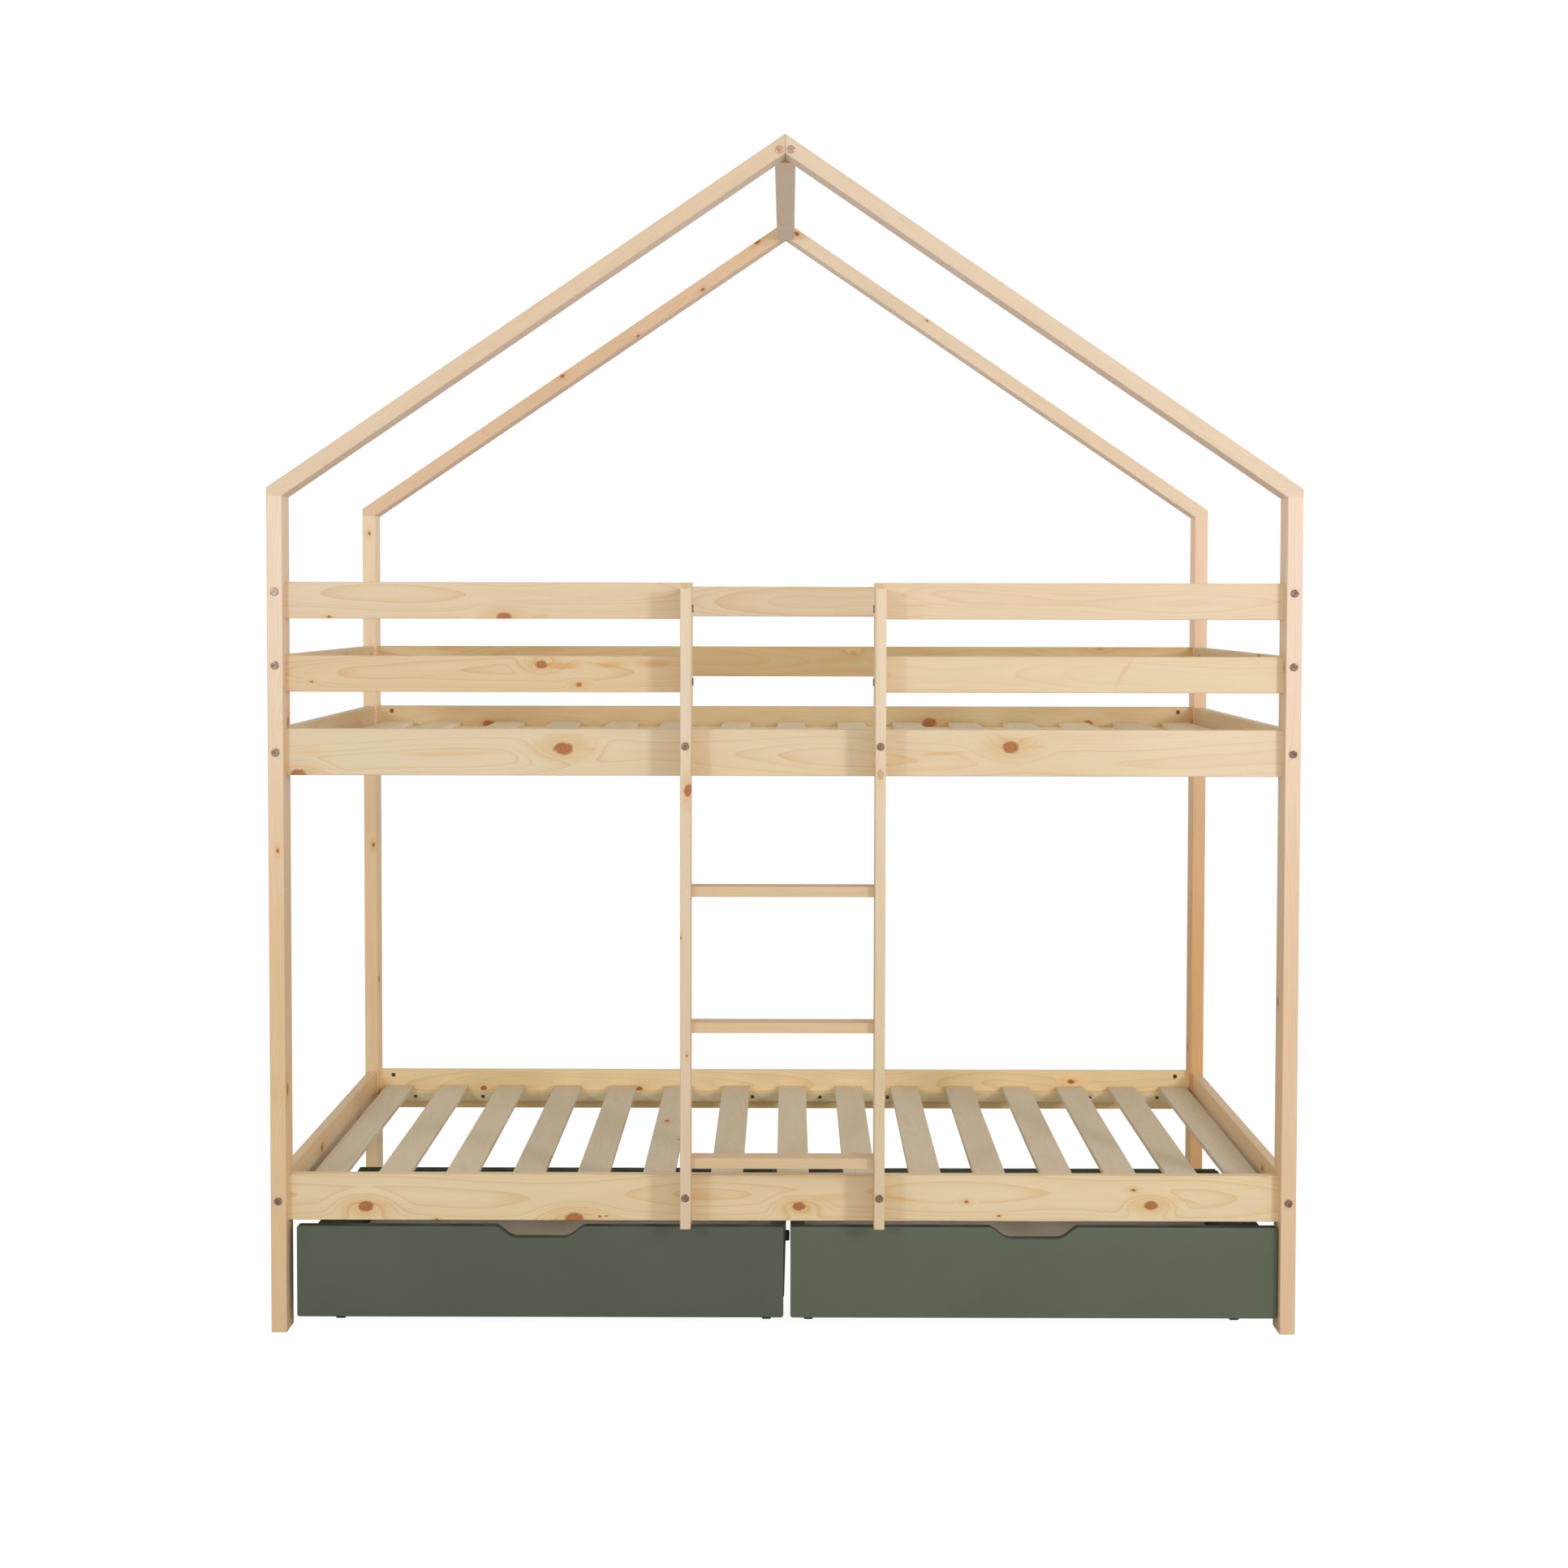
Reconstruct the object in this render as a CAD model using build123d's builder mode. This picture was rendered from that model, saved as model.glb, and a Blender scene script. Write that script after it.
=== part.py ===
from build123d import *
import os

os.makedirs("parts", exist_ok=True)

# House bunk bed with two free-rolling under-bed drawers.
# Frame: X along the bed, Y from the ladder side (-Y) to the wall side (+Y), +Z up.
# The origin is on the floor, at the centre of the footprint (ladder included).

# ---------------------------------------------------------------- driving sizes
LENGTH = 1980.0            # over the posts, along X
POST_W = 30.0              # post size along X
POST_D = 60.0              # post size along Y
POST_PITCH_Y = 930.0       # front post face to rear post face
POST_TOP = 1615.0
BOARD = 20.0               # thickness of every rail and guard
RAIL_H = 90.0
GUARD_H = 70.0
LOWER_RAIL_Z = 214.0       # underside of the lower rails
UPPER_RAIL_Z = 1079.0      # underside of the upper rails
LOW_GUARD_Z = 1240.0
TOP_GUARD_Z = 1381.0
APEX_Z = 2302.0
NOSE_Z = 1631.0            # outer top edge of a rafter, over the post
SOFTEN = 2.0               # rounding of the long edges of the timber

LADDER_D = 60.0            # ladder rail size along Y
LADDER_LEFT = -197.5       # outer face of the left ladder rail
LADDER_RIGHT = 193.5       # outer face of the right ladder rail
LADDER_BOTTOM = 215.0
LADDER_TOP = 1439.0
RUNG_TOPS = (348.0, 609.5, 871.0)
RUNG_T = 20.0
RUNG_D = 40.0
HOUSING = 6.0              # depth of the rung housings in the ladder rails

SLAT_W = 64.0
SLAT_T = 11.0
BEARER_H = 22.0
BEARER_LIFT = 21.0         # rail underside to bearer underside
SLAT_X = (-911.5, -782.0, -647.0, -512.5, -382.5, -250.5, -114.0, 19.0,
          152.5, 284.5, 414.0, 548.5, 676.5, 800.0, 921.0)
UPPER_SHIFT = (3.0, -14.0, 3.0, 0.0, 5.0, -3.0, 2.0, -4.0, 3.0, 0.0, 4.0, -3.0, 2.0, 5.0, -1.0)

RIDGE_W = 40.0
RIDGE_H = 28.0
RIDGE_Z = 2259.0

DRAWER_W = 944.0           # drawer front, along X
DRAWER_H = 178.0
DRAWER_Z = 26.0            # underside of the drawer front
DRAWER_FRONT_T = 18.0
DRAWER_SET_BACK = 15.0     # behind the posts' front face
DRAWER_DEPTH = 440.0       # front face to rear face
BOX_W = 909.0              # drawer box, along X
SIDE_T = 15.0
BACK_T = 16.0
BOX_TOP = 203.0
BOX_BOTTOM = 62.0
PANEL_Z = 90.0             # underside of the hardboard bottom
PANEL_T = 3.0
GROOVE = 5.0
WHEEL_R = 25.0
WHEEL_W = 18.0
AXLE_Z = 25.3
AXLE_R = 3.0

# fasteners
BOLT_R = 3.0
BOLT_HOLE_R = 3.4
HEAD_R = 7.5
HEAD_T = 2.6
NUT_R = 4.9
NUT_HOLE_R = 5.0
NUT_L = 15.0
NUT_HOLE_L = 18.0
NUT_FROM_END = 33.0        # barrel nut centre to board end
END_NUT_FROM_END = 35.0
DOWEL_R = 4.0
SCREW_R = 2.0
SCREW_HOLE_R = 2.1
SCREW_HEAD_R = 4.0
SCREW_HEAD_T = 1.8

# ---------------------------------------------------------------- derived places
Y_FRONT = -(POST_PITCH_Y + POST_D) / 2 + 20.0      # front face of the front posts
Y_REAR = Y_FRONT + POST_PITCH_Y                    # front face of the rear posts
Y_MID = Y_FRONT + (POST_PITCH_Y + POST_D) / 2      # mirror plane between the long sides
MID_PLANE = Plane.XZ.offset(-Y_MID)
X_OUT = LENGTH / 2
X_IN = X_OUT - POST_W
X_POST = X_OUT - POST_W / 2
Y_POST = Y_FRONT + POST_D / 2                      # centre of a front post
SIDE_Y0 = Y_POST - BOARD / 2                       # front face of the front side boards
SIDE_Y1 = Y_POST + BOARD / 2
REAR_Y0 = Y_REAR + POST_D / 2 - BOARD / 2          # inner face of the rear side boards
REAR_Y1 = REAR_Y0 + BOARD
END_Y0 = Y_FRONT + POST_D                          # end boards run between the posts
END_Y1 = Y_REAR
END_L = END_Y1 - END_Y0
END_YC = (END_Y0 + END_Y1) / 2
LADDER_Y0 = SIDE_Y0 - LADDER_D                     # front face of the ladder
LOWER_MID = LOWER_RAIL_Z + RAIL_H / 2
UPPER_MID = UPPER_RAIL_Z + RAIL_H / 2
LOW_G_MID = LOW_GUARD_Z + GUARD_H / 2
TOP_G_MID = TOP_GUARD_Z + GUARD_H / 2
RAIL_BOLT = 33.0           # lengthways bolts sit this far above and below the rail's middle
GUARD_X_DROP = 15.0        # lengthways guard bolts sit below the guard's middle
GUARD_Y_RISE = 16.0        # crossways guard bolts sit above it
X_BOLT_Z = (LOWER_MID - RAIL_BOLT, LOWER_MID + RAIL_BOLT, UPPER_MID - RAIL_BOLT, UPPER_MID + RAIL_BOLT,
            LOW_G_MID - GUARD_X_DROP, TOP_G_MID - GUARD_X_DROP)
Y_BOLT_Z = (LOWER_MID - 3.0, UPPER_MID, LOW_G_MID + GUARD_Y_RISE, TOP_G_MID + GUARD_Y_RISE)
X_NUT = X_IN - NUT_FROM_END
Y_NUT_F = END_Y0 + END_NUT_FROM_END
Y_NUT_R = END_Y1 - END_NUT_FROM_END
X_BOLT_L = POST_W + NUT_FROM_END + 5.0
Y_BOLT_L = POST_D + END_NUT_FROM_END + 5.0
SLOPE = (APEX_Z - NOSE_Z) / X_OUT
INNER_APEX_Z = POST_TOP + X_IN * SLOPE
RIDGE_MID_Z = RIDGE_Z + RIDGE_H / 2
RIDGE_BOLT_X = 11.0
RIDGE_BOLT_Z = 2272.0
DOWEL_X_IN = 8.0           # dowel depth in a post, lengthways
DOWEL_Y_IN = 14.0          # dowel depth in a post, crossways
GP_LEFT = LADDER_LEFT + BOARD
GP_RIGHT = LADDER_RIGHT - BOARD
LADDER_XL = LADDER_LEFT + BOARD / 2
LADDER_XR = LADDER_RIGHT - BOARD / 2
LADDER_BOLT_Z = (LOWER_MID + 16.0, UPPER_MID + 16.0)
GP_BOLT_Z = (LOW_G_MID - GUARD_X_DROP, TOP_G_MID - GUARD_X_DROP)
GP_SCREW_Z = (1205.0, 1340.0)
GP_LAP_Z = 1136.0
RUNG_Y = LADDER_Y0 + 35.0  # rung centre line
BEARER_X = 1910.0
BEARER_SCREW_X = [-871.0 + 159.3 * i for i in range(12)]
LOWER_BEARER_Z = LOWER_RAIL_Z + BEARER_LIFT
UPPER_BEARER_Z = UPPER_RAIL_Z + BEARER_LIFT
SLAT_L = REAR_Y0 - SIDE_Y1 - 4.0
SLAT_YC = (SIDE_Y1 + REAR_Y0) / 2

# ================================================================ posts
with BuildPart() as front_left_post:
    with Locations((-X_POST, Y_POST, POST_TOP / 2)):
        Box(POST_W, POST_D, POST_TOP)
    fillet(front_left_post.edges().filter_by(Axis.Z), SOFTEN)
    with Locations(*[(-X_POST, Y_POST, z) for z in X_BOLT_Z]):
        Cylinder(BOLT_HOLE_R, POST_W + 2, rotation=(0, 90, 0), mode=Mode.SUBTRACT)
    with Locations(*[(-X_POST, Y_POST, z) for z in Y_BOLT_Z]):
        Cylinder(BOLT_HOLE_R, POST_D + 2, rotation=(90, 0, 0), mode=Mode.SUBTRACT)
    # dowel sockets: rafter heel, end rails, end guards and side guards
    with Locations(*[(-X_POST, Y_POST + dy, POST_TOP - 10.1) for dy in (-15, 15)]):
        Cylinder(DOWEL_R + 0.05, 20.2, mode=Mode.SUBTRACT)
    with Locations(*[(-X_POST, END_Y0 - DOWEL_Y_IN / 2 - 0.1, z) for z in
                     (LOWER_MID - 25, LOWER_MID + 22, UPPER_MID - 25, UPPER_MID + 25, LOW_G_MID - 18, TOP_G_MID - 18)]):
        Cylinder(DOWEL_R + 0.05, DOWEL_Y_IN + 0.2, rotation=(90, 0, 0), mode=Mode.SUBTRACT)
    with Locations(*[(-X_IN - DOWEL_X_IN / 2 - 0.1, Y_POST, z) for z in (LOW_G_MID + 18, TOP_G_MID + 18)]):
        Cylinder(DOWEL_R + 0.05, DOWEL_X_IN + 0.2, rotation=(0, 90, 0), mode=Mode.SUBTRACT)
front_left_post.part.label = "front_left_post"
export_step(front_left_post.part, "parts/front_left_post.step")

with BuildPart() as front_right_post:
    mirror(front_left_post.part, about=Plane.YZ)
front_right_post.part.label = "front_right_post"
export_step(front_right_post.part, "parts/front_right_post.step")

with BuildPart() as rear_left_post:
    mirror(front_left_post.part, about=MID_PLANE)
rear_left_post.part.label = "rear_left_post"
export_step(rear_left_post.part, "parts/rear_left_post.step")

with BuildPart() as rear_right_post:
    mirror(rear_left_post.part, about=Plane.YZ)
rear_right_post.part.label = "rear_right_post"
export_step(rear_right_post.part, "parts/rear_right_post.step")

# ================================================================ rafters and ridge
with BuildPart() as front_left_rafter:
    with BuildSketch(Plane.XZ.offset(-Y_FRONT)) as rafter_profile:
        with BuildLine():
            Polyline((-X_OUT, POST_TOP), (-X_IN, POST_TOP), (0, INNER_APEX_Z), (0, APEX_Z),
                     (-X_OUT, NOSE_Z), close=True)
        make_face()
    extrude(amount=-POST_D)
    long_edges = [e for e in front_left_rafter.edges()
                  if e.length > 900 and abs(e.tangent_at(0.5).Y) < 0.01]
    fillet(long_edges, SOFTEN)
    with Locations(*[(-X_POST, Y_POST + dy, POST_TOP + 8.1) for dy in (-15, 15)]):
        Cylinder(DOWEL_R + 0.05, 16.4, mode=Mode.SUBTRACT)
    with Locations((-RIDGE_BOLT_X, Y_POST, RIDGE_BOLT_Z)):
        Cylinder(BOLT_HOLE_R, POST_D + 2, rotation=(90, 0, 0), mode=Mode.SUBTRACT)
front_left_rafter.part.label = "front_left_rafter"
export_step(front_left_rafter.part, "parts/front_left_rafter.step")

with BuildPart() as front_right_rafter:
    mirror(front_left_rafter.part, about=Plane.YZ)
front_right_rafter.part.label = "front_right_rafter"
export_step(front_right_rafter.part, "parts/front_right_rafter.step")

with BuildPart() as rear_left_rafter:
    mirror(front_left_rafter.part, about=MID_PLANE)
rear_left_rafter.part.label = "rear_left_rafter"
export_step(rear_left_rafter.part, "parts/rear_left_rafter.step")

with BuildPart() as rear_right_rafter:
    mirror(rear_left_rafter.part, about=Plane.YZ)
rear_right_rafter.part.label = "rear_right_rafter"
export_step(rear_right_rafter.part, "parts/rear_right_rafter.step")

with BuildPart() as ridge_beam:
    with Locations((0, END_YC, RIDGE_MID_Z)):
        Box(RIDGE_W, END_L, RIDGE_H)
    fillet(ridge_beam.edges().filter_by(Axis.Y), 1.5)
    # bolt holes in the end grain, crossed by barrel nut holes drilled from above
    with Locations(*[(sx * RIDGE_BOLT_X, y, RIDGE_BOLT_Z) for sx in (-1, 1)
                     for y in (END_Y0 + 22.5, END_Y1 - 22.5)]):
        Cylinder(BOLT_HOLE_R, 46, rotation=(90, 0, 0), mode=Mode.SUBTRACT)
    with Locations(*[(sx * RIDGE_BOLT_X, y, RIDGE_Z + RIDGE_H - 10.9) for sx in (-1, 1)
                     for y in (Y_NUT_F, Y_NUT_R)]):
        Cylinder(NUT_HOLE_R, 22, mode=Mode.SUBTRACT)
ridge_beam.part.label = "ridge_beam"
export_step(ridge_beam.part, "parts/ridge_beam.step")

# ================================================================ side rails
with BuildPart() as lower_rear_side_rail:
    with Locations((0, (REAR_Y0 + REAR_Y1) / 2, LOWER_MID)):
        Box(2 * X_IN, BOARD, RAIL_H)
    fillet(lower_rear_side_rail.edges().filter_by(Axis.X), SOFTEN)
    with Locations(*[(sx * (X_IN - 20), (REAR_Y0 + REAR_Y1) / 2, LOWER_MID + dz) for sx in (-1, 1)
                     for dz in (-RAIL_BOLT, RAIL_BOLT)]):
        Cylinder(BOLT_HOLE_R, 42, rotation=(0, 90, 0), mode=Mode.SUBTRACT)
    with Locations(*[(sx * X_NUT, REAR_Y0 + NUT_HOLE_L / 2 - 0.1, LOWER_MID + dz) for sx in (-1, 1)
                     for dz in (-RAIL_BOLT, RAIL_BOLT)]):
        Cylinder(NUT_HOLE_R, NUT_HOLE_L + 0.2, rotation=(90, 0, 0), mode=Mode.SUBTRACT)
    with Locations(*[(x, REAR_Y0 + 7.4, LOWER_BEARER_Z + BEARER_H / 2) for x in BEARER_SCREW_X]):
        Cylinder(SCREW_HOLE_R, 15.2, rotation=(90, 0, 0), mode=Mode.SUBTRACT)
lower_rear_side_rail.part.label = "lower_rear_side_rail"
export_step(lower_rear_side_rail.part, "parts/lower_rear_side_rail.step")

with BuildPart() as lower_front_side_rail:
    mirror(lower_rear_side_rail.part, about=MID_PLANE)
    # sockets for the ladder's threaded inserts, in the outer face
    with Locations(*[(x, SIDE_Y0 + 8.0 - 0.1, LADDER_BOLT_Z[0]) for x in (LADDER_XL, LADDER_XR)]):
        Cylinder(NUT_HOLE_R, 16.2, rotation=(90, 0, 0), mode=Mode.SUBTRACT)
lower_front_side_rail.part.label = "lower_front_side_rail"
export_step(lower_front_side_rail.part, "parts/lower_front_side_rail.step")

with BuildPart() as upper_rear_side_rail:
    with Locations((0, (REAR_Y0 + REAR_Y1) / 2, UPPER_MID)):
        Box(2 * X_IN, BOARD, RAIL_H)
    fillet(upper_rear_side_rail.edges().filter_by(Axis.X), SOFTEN)
    with Locations(*[(sx * (X_IN - 20), (REAR_Y0 + REAR_Y1) / 2, UPPER_MID + dz) for sx in (-1, 1)
                     for dz in (-RAIL_BOLT, RAIL_BOLT)]):
        Cylinder(BOLT_HOLE_R, 42, rotation=(0, 90, 0), mode=Mode.SUBTRACT)
    with Locations(*[(sx * X_NUT, REAR_Y0 + NUT_HOLE_L / 2 - 0.1, UPPER_MID + dz) for sx in (-1, 1)
                     for dz in (-RAIL_BOLT, RAIL_BOLT)]):
        Cylinder(NUT_HOLE_R, NUT_HOLE_L + 0.2, rotation=(90, 0, 0), mode=Mode.SUBTRACT)
    with Locations(*[(x, REAR_Y0 + 7.4, UPPER_BEARER_Z + BEARER_H / 2) for x in BEARER_SCREW_X]):
        Cylinder(SCREW_HOLE_R, 15.2, rotation=(90, 0, 0), mode=Mode.SUBTRACT)
upper_rear_side_rail.part.label = "upper_rear_side_rail"
export_step(upper_rear_side_rail.part, "parts/upper_rear_side_rail.step")

with BuildPart() as upper_front_side_rail:
    mirror(upper_rear_side_rail.part, about=MID_PLANE)
    with Locations(*[(x, SIDE_Y0 + 8.0 - 0.1, LADDER_BOLT_Z[1]) for x in (LADDER_XL, LADDER_XR)]):
        Cylinder(NUT_HOLE_R, 16.2, rotation=(90, 0, 0), mode=Mode.SUBTRACT)
    # pilot holes for the guard posts' lap screws, in the inner face
    with Locations(*[(x, SIDE_Y1 - 6.9, 1154.0) for x in (LADDER_XL, LADDER_XR)]):
        Cylinder(SCREW_HOLE_R, 14.2, rotation=(90, 0, 0), mode=Mode.SUBTRACT)
upper_front_side_rail.part.label = "upper_front_side_rail"
export_step(upper_front_side_rail.part, "parts/upper_front_side_rail.step")

# ================================================================ end rails
with BuildPart() as lower_left_end_rail:
    with Locations((-X_POST, END_YC, LOWER_MID)):
        Box(BOARD, END_L, RAIL_H)
    fillet(lower_left_end_rail.edges().filter_by(Axis.Y), SOFTEN)
    with Locations(*[(-X_POST, y, Y_BOLT_Z[0]) for y in (END_Y0 + 21, END_Y1 - 21)]):
        Cylinder(BOLT_HOLE_R, 44, rotation=(90, 0, 0), mode=Mode.SUBTRACT)
    with Locations(*[(-X_POST + BOARD / 2 - NUT_HOLE_L / 2 + 0.1, y, Y_BOLT_Z[0]) for y in (Y_NUT_F, Y_NUT_R)]):
        Cylinder(NUT_HOLE_R, NUT_HOLE_L + 0.2, rotation=(0, 90, 0), mode=Mode.SUBTRACT)
    with Locations(*[(-X_POST, y, z) for y in (END_Y0 + 12.4, END_Y1 - 12.4)
                     for z in (LOWER_MID - 25, LOWER_MID + 22)]):
        Cylinder(DOWEL_R + 0.05, 25.2, rotation=(90, 0, 0), mode=Mode.SUBTRACT)
lower_left_end_rail.part.label = "lower_left_end_rail"
export_step(lower_left_end_rail.part, "parts/lower_left_end_rail.step")

with BuildPart() as lower_right_end_rail:
    mirror(lower_left_end_rail.part, about=Plane.YZ)
lower_right_end_rail.part.label = "lower_right_end_rail"
export_step(lower_right_end_rail.part, "parts/lower_right_end_rail.step")

with BuildPart() as upper_left_end_rail:
    with Locations((-X_POST, END_YC, UPPER_MID)):
        Box(BOARD, END_L, RAIL_H)
    fillet(upper_left_end_rail.edges().filter_by(Axis.Y), SOFTEN)
    with Locations(*[(-X_POST, y, Y_BOLT_Z[1]) for y in (END_Y0 + 21, END_Y1 - 21)]):
        Cylinder(BOLT_HOLE_R, 44, rotation=(90, 0, 0), mode=Mode.SUBTRACT)
    with Locations(*[(-X_POST + BOARD / 2 - NUT_HOLE_L / 2 + 0.1, y, Y_BOLT_Z[1]) for y in (Y_NUT_F, Y_NUT_R)]):
        Cylinder(NUT_HOLE_R, NUT_HOLE_L + 0.2, rotation=(0, 90, 0), mode=Mode.SUBTRACT)
    with Locations(*[(-X_POST, y, z) for y in (END_Y0 + 12.4, END_Y1 - 12.4)
                     for z in (UPPER_MID - 25, UPPER_MID + 25)]):
        Cylinder(DOWEL_R + 0.05, 25.2, rotation=(90, 0, 0), mode=Mode.SUBTRACT)
upper_left_end_rail.part.label = "upper_left_end_rail"
export_step(upper_left_end_rail.part, "parts/upper_left_end_rail.step")

with BuildPart() as upper_right_end_rail:
    mirror(upper_left_end_rail.part, about=Plane.YZ)
upper_right_end_rail.part.label = "upper_right_end_rail"
export_step(upper_right_end_rail.part, "parts/upper_right_end_rail.step")

# ================================================================ guards
with BuildPart() as left_end_guards:
    with Locations(*[(-X_POST, END_YC, z) for z in (LOW_G_MID, TOP_G_MID)]):
        Box(BOARD, END_L, GUARD_H)
    fillet(left_end_guards.edges().filter_by(Axis.Y), SOFTEN)
    with Locations(*[(-X_POST, y, z) for y in (END_Y0 + 21, END_Y1 - 21) for z in Y_BOLT_Z[2:]]):
        Cylinder(BOLT_HOLE_R, 44, rotation=(90, 0, 0), mode=Mode.SUBTRACT)
    with Locations(*[(-X_POST + BOARD / 2 - NUT_HOLE_L / 2 + 0.1, y, z) for y in (Y_NUT_F, Y_NUT_R)
                     for z in Y_BOLT_Z[2:]]):
        Cylinder(NUT_HOLE_R, NUT_HOLE_L + 0.2, rotation=(0, 90, 0), mode=Mode.SUBTRACT)
    with Locations(*[(-X_POST, y, z) for y in (END_Y0 + 12.4, END_Y1 - 12.4)
                     for z in (LOW_G_MID - 18, TOP_G_MID - 18)]):
        Cylinder(DOWEL_R + 0.05, 25.2, rotation=(90, 0, 0), mode=Mode.SUBTRACT)
left_end_guards.part.label = "left_end_guards"
export_step(left_end_guards.part, "parts/left_end_guards.step")

with BuildPart() as right_end_guards:
    mirror(left_end_guards.part, about=Plane.YZ)
right_end_guards.part.label = "right_end_guards"
export_step(right_end_guards.part, "parts/right_end_guards.step")

with BuildPart() as rear_guards:
    with Locations(*[(0, (REAR_Y0 + REAR_Y1) / 2, z) for z in (LOW_G_MID, TOP_G_MID)]):
        Box(2 * X_IN, BOARD, GUARD_H)
    fillet(rear_guards.edges().filter_by(Axis.X), SOFTEN)
    with Locations(*[(sx * (X_IN - 20), (REAR_Y0 + REAR_Y1) / 2, z) for sx in (-1, 1) for z in X_BOLT_Z[4:]]):
        Cylinder(BOLT_HOLE_R, 42, rotation=(0, 90, 0), mode=Mode.SUBTRACT)
    with Locations(*[(sx * X_NUT, REAR_Y0 + NUT_HOLE_L / 2 - 0.1, z) for sx in (-1, 1) for z in X_BOLT_Z[4:]]):
        Cylinder(NUT_HOLE_R, NUT_HOLE_L + 0.2, rotation=(90, 0, 0), mode=Mode.SUBTRACT)
    with Locations(*[(sx * (X_IN - 12.4), (REAR_Y0 + REAR_Y1) / 2, z) for sx in (-1, 1)
                     for z in (LOW_G_MID + 18, TOP_G_MID + 18)]):
        Cylinder(DOWEL_R + 0.05, 25.2, rotation=(0, 90, 0), mode=Mode.SUBTRACT)
rear_guards.part.label = "rear_guards"
export_step(rear_guards.part, "parts/rear_guards.step")

with BuildPart() as front_left_guards:
    with Locations(*[((-X_IN + LADDER_LEFT) / 2, (SIDE_Y0 + SIDE_Y1) / 2, z) for z in (LOW_G_MID, TOP_G_MID)]):
        Box(X_IN + LADDER_LEFT, BOARD, GUARD_H)
    fillet(front_left_guards.edges().filter_by(Axis.X), SOFTEN)
    with Locations(*[(x, (SIDE_Y0 + SIDE_Y1) / 2, z) for x in (-X_IN + 20, LADDER_LEFT - 20) for z in X_BOLT_Z[4:]]):
        Cylinder(BOLT_HOLE_R, 42, rotation=(0, 90, 0), mode=Mode.SUBTRACT)
    with Locations(*[(x, SIDE_Y1 - NUT_HOLE_L / 2 + 0.1, z) for x in (-X_NUT, LADDER_LEFT - NUT_FROM_END)
                     for z in X_BOLT_Z[4:]]):
        Cylinder(NUT_HOLE_R, NUT_HOLE_L + 0.2, rotation=(90, 0, 0), mode=Mode.SUBTRACT)
    with Locations(*[(-X_IN + 12.4, (SIDE_Y0 + SIDE_Y1) / 2, z) for z in (LOW_G_MID + 18, TOP_G_MID + 18)]):
        Cylinder(DOWEL_R + 0.05, 25.2, rotation=(0, 90, 0), mode=Mode.SUBTRACT)
front_left_guards.part.label = "front_left_guards"
export_step(front_left_guards.part, "parts/front_left_guards.step")

with BuildPart() as front_right_guards:
    with Locations(*[((X_IN + LADDER_RIGHT) / 2, (SIDE_Y0 + SIDE_Y1) / 2, z) for z in (LOW_G_MID, TOP_G_MID)]):
        Box(X_IN - LADDER_RIGHT, BOARD, GUARD_H)
    fillet(front_right_guards.edges().filter_by(Axis.X), SOFTEN)
    with Locations(*[(x, (SIDE_Y0 + SIDE_Y1) / 2, z) for x in (X_IN - 20, LADDER_RIGHT + 20) for z in X_BOLT_Z[4:]]):
        Cylinder(BOLT_HOLE_R, 42, rotation=(0, 90, 0), mode=Mode.SUBTRACT)
    with Locations(*[(x, SIDE_Y1 - NUT_HOLE_L / 2 + 0.1, z) for x in (X_NUT, LADDER_RIGHT + NUT_FROM_END)
                     for z in X_BOLT_Z[4:]]):
        Cylinder(NUT_HOLE_R, NUT_HOLE_L + 0.2, rotation=(90, 0, 0), mode=Mode.SUBTRACT)
    with Locations(*[(X_IN - 12.4, (SIDE_Y0 + SIDE_Y1) / 2, z) for z in (LOW_G_MID + 18, TOP_G_MID + 18)]):
        Cylinder(DOWEL_R + 0.05, 25.2, rotation=(0, 90, 0), mode=Mode.SUBTRACT)
front_right_guards.part.label = "front_right_guards"
export_step(front_right_guards.part, "parts/front_right_guards.step")

# guard posts stand on the upper front rail and lap down behind it
with BuildPart() as left_guard_post:
    with BuildSketch(Plane.YZ.offset(LADDER_LEFT)):
        with BuildLine():
            Polyline((SIDE_Y0, UPPER_RAIL_Z + RAIL_H), (SIDE_Y1, UPPER_RAIL_Z + RAIL_H), (SIDE_Y1, GP_LAP_Z),
                     (SIDE_Y1 + BOARD, GP_LAP_Z), (SIDE_Y1 + BOARD, TOP_GUARD_Z + GUARD_H),
                     (SIDE_Y0, TOP_GUARD_Z + GUARD_H), close=True)
        make_face()
    extrude(amount=BOARD)
    fillet(left_guard_post.edges().filter_by(Axis.Z).sort_by(Axis.Y)[-2:], SOFTEN)
    with Locations(*[(LADDER_XL, (SIDE_Y0 + SIDE_Y1) / 2, z) for z in GP_BOLT_Z]):
        Cylinder(BOLT_HOLE_R, BOARD + 2, rotation=(0, 90, 0), mode=Mode.SUBTRACT)
    with Locations(*[(LADDER_XL, SIDE_Y0 + 20, z) for z in GP_SCREW_Z]):
        Cylinder(SCREW_HOLE_R, 42, rotation=(90, 0, 0), mode=Mode.SUBTRACT)
    with Locations((LADDER_XL, SIDE_Y1 + BOARD / 2, 1154.0)):
        Cylinder(SCREW_HOLE_R, BOARD + 2, rotation=(90, 0, 0), mode=Mode.SUBTRACT)
left_guard_post.part.label = "left_guard_post"
export_step(left_guard_post.part, "parts/left_guard_post.step")

with BuildPart() as right_guard_post:
    mirror(left_guard_post.part, about=Plane.YZ.offset((LADDER_LEFT + LADDER_RIGHT) / 2))
right_guard_post.part.label = "right_guard_post"
export_step(right_guard_post.part, "parts/right_guard_post.step")

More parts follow.
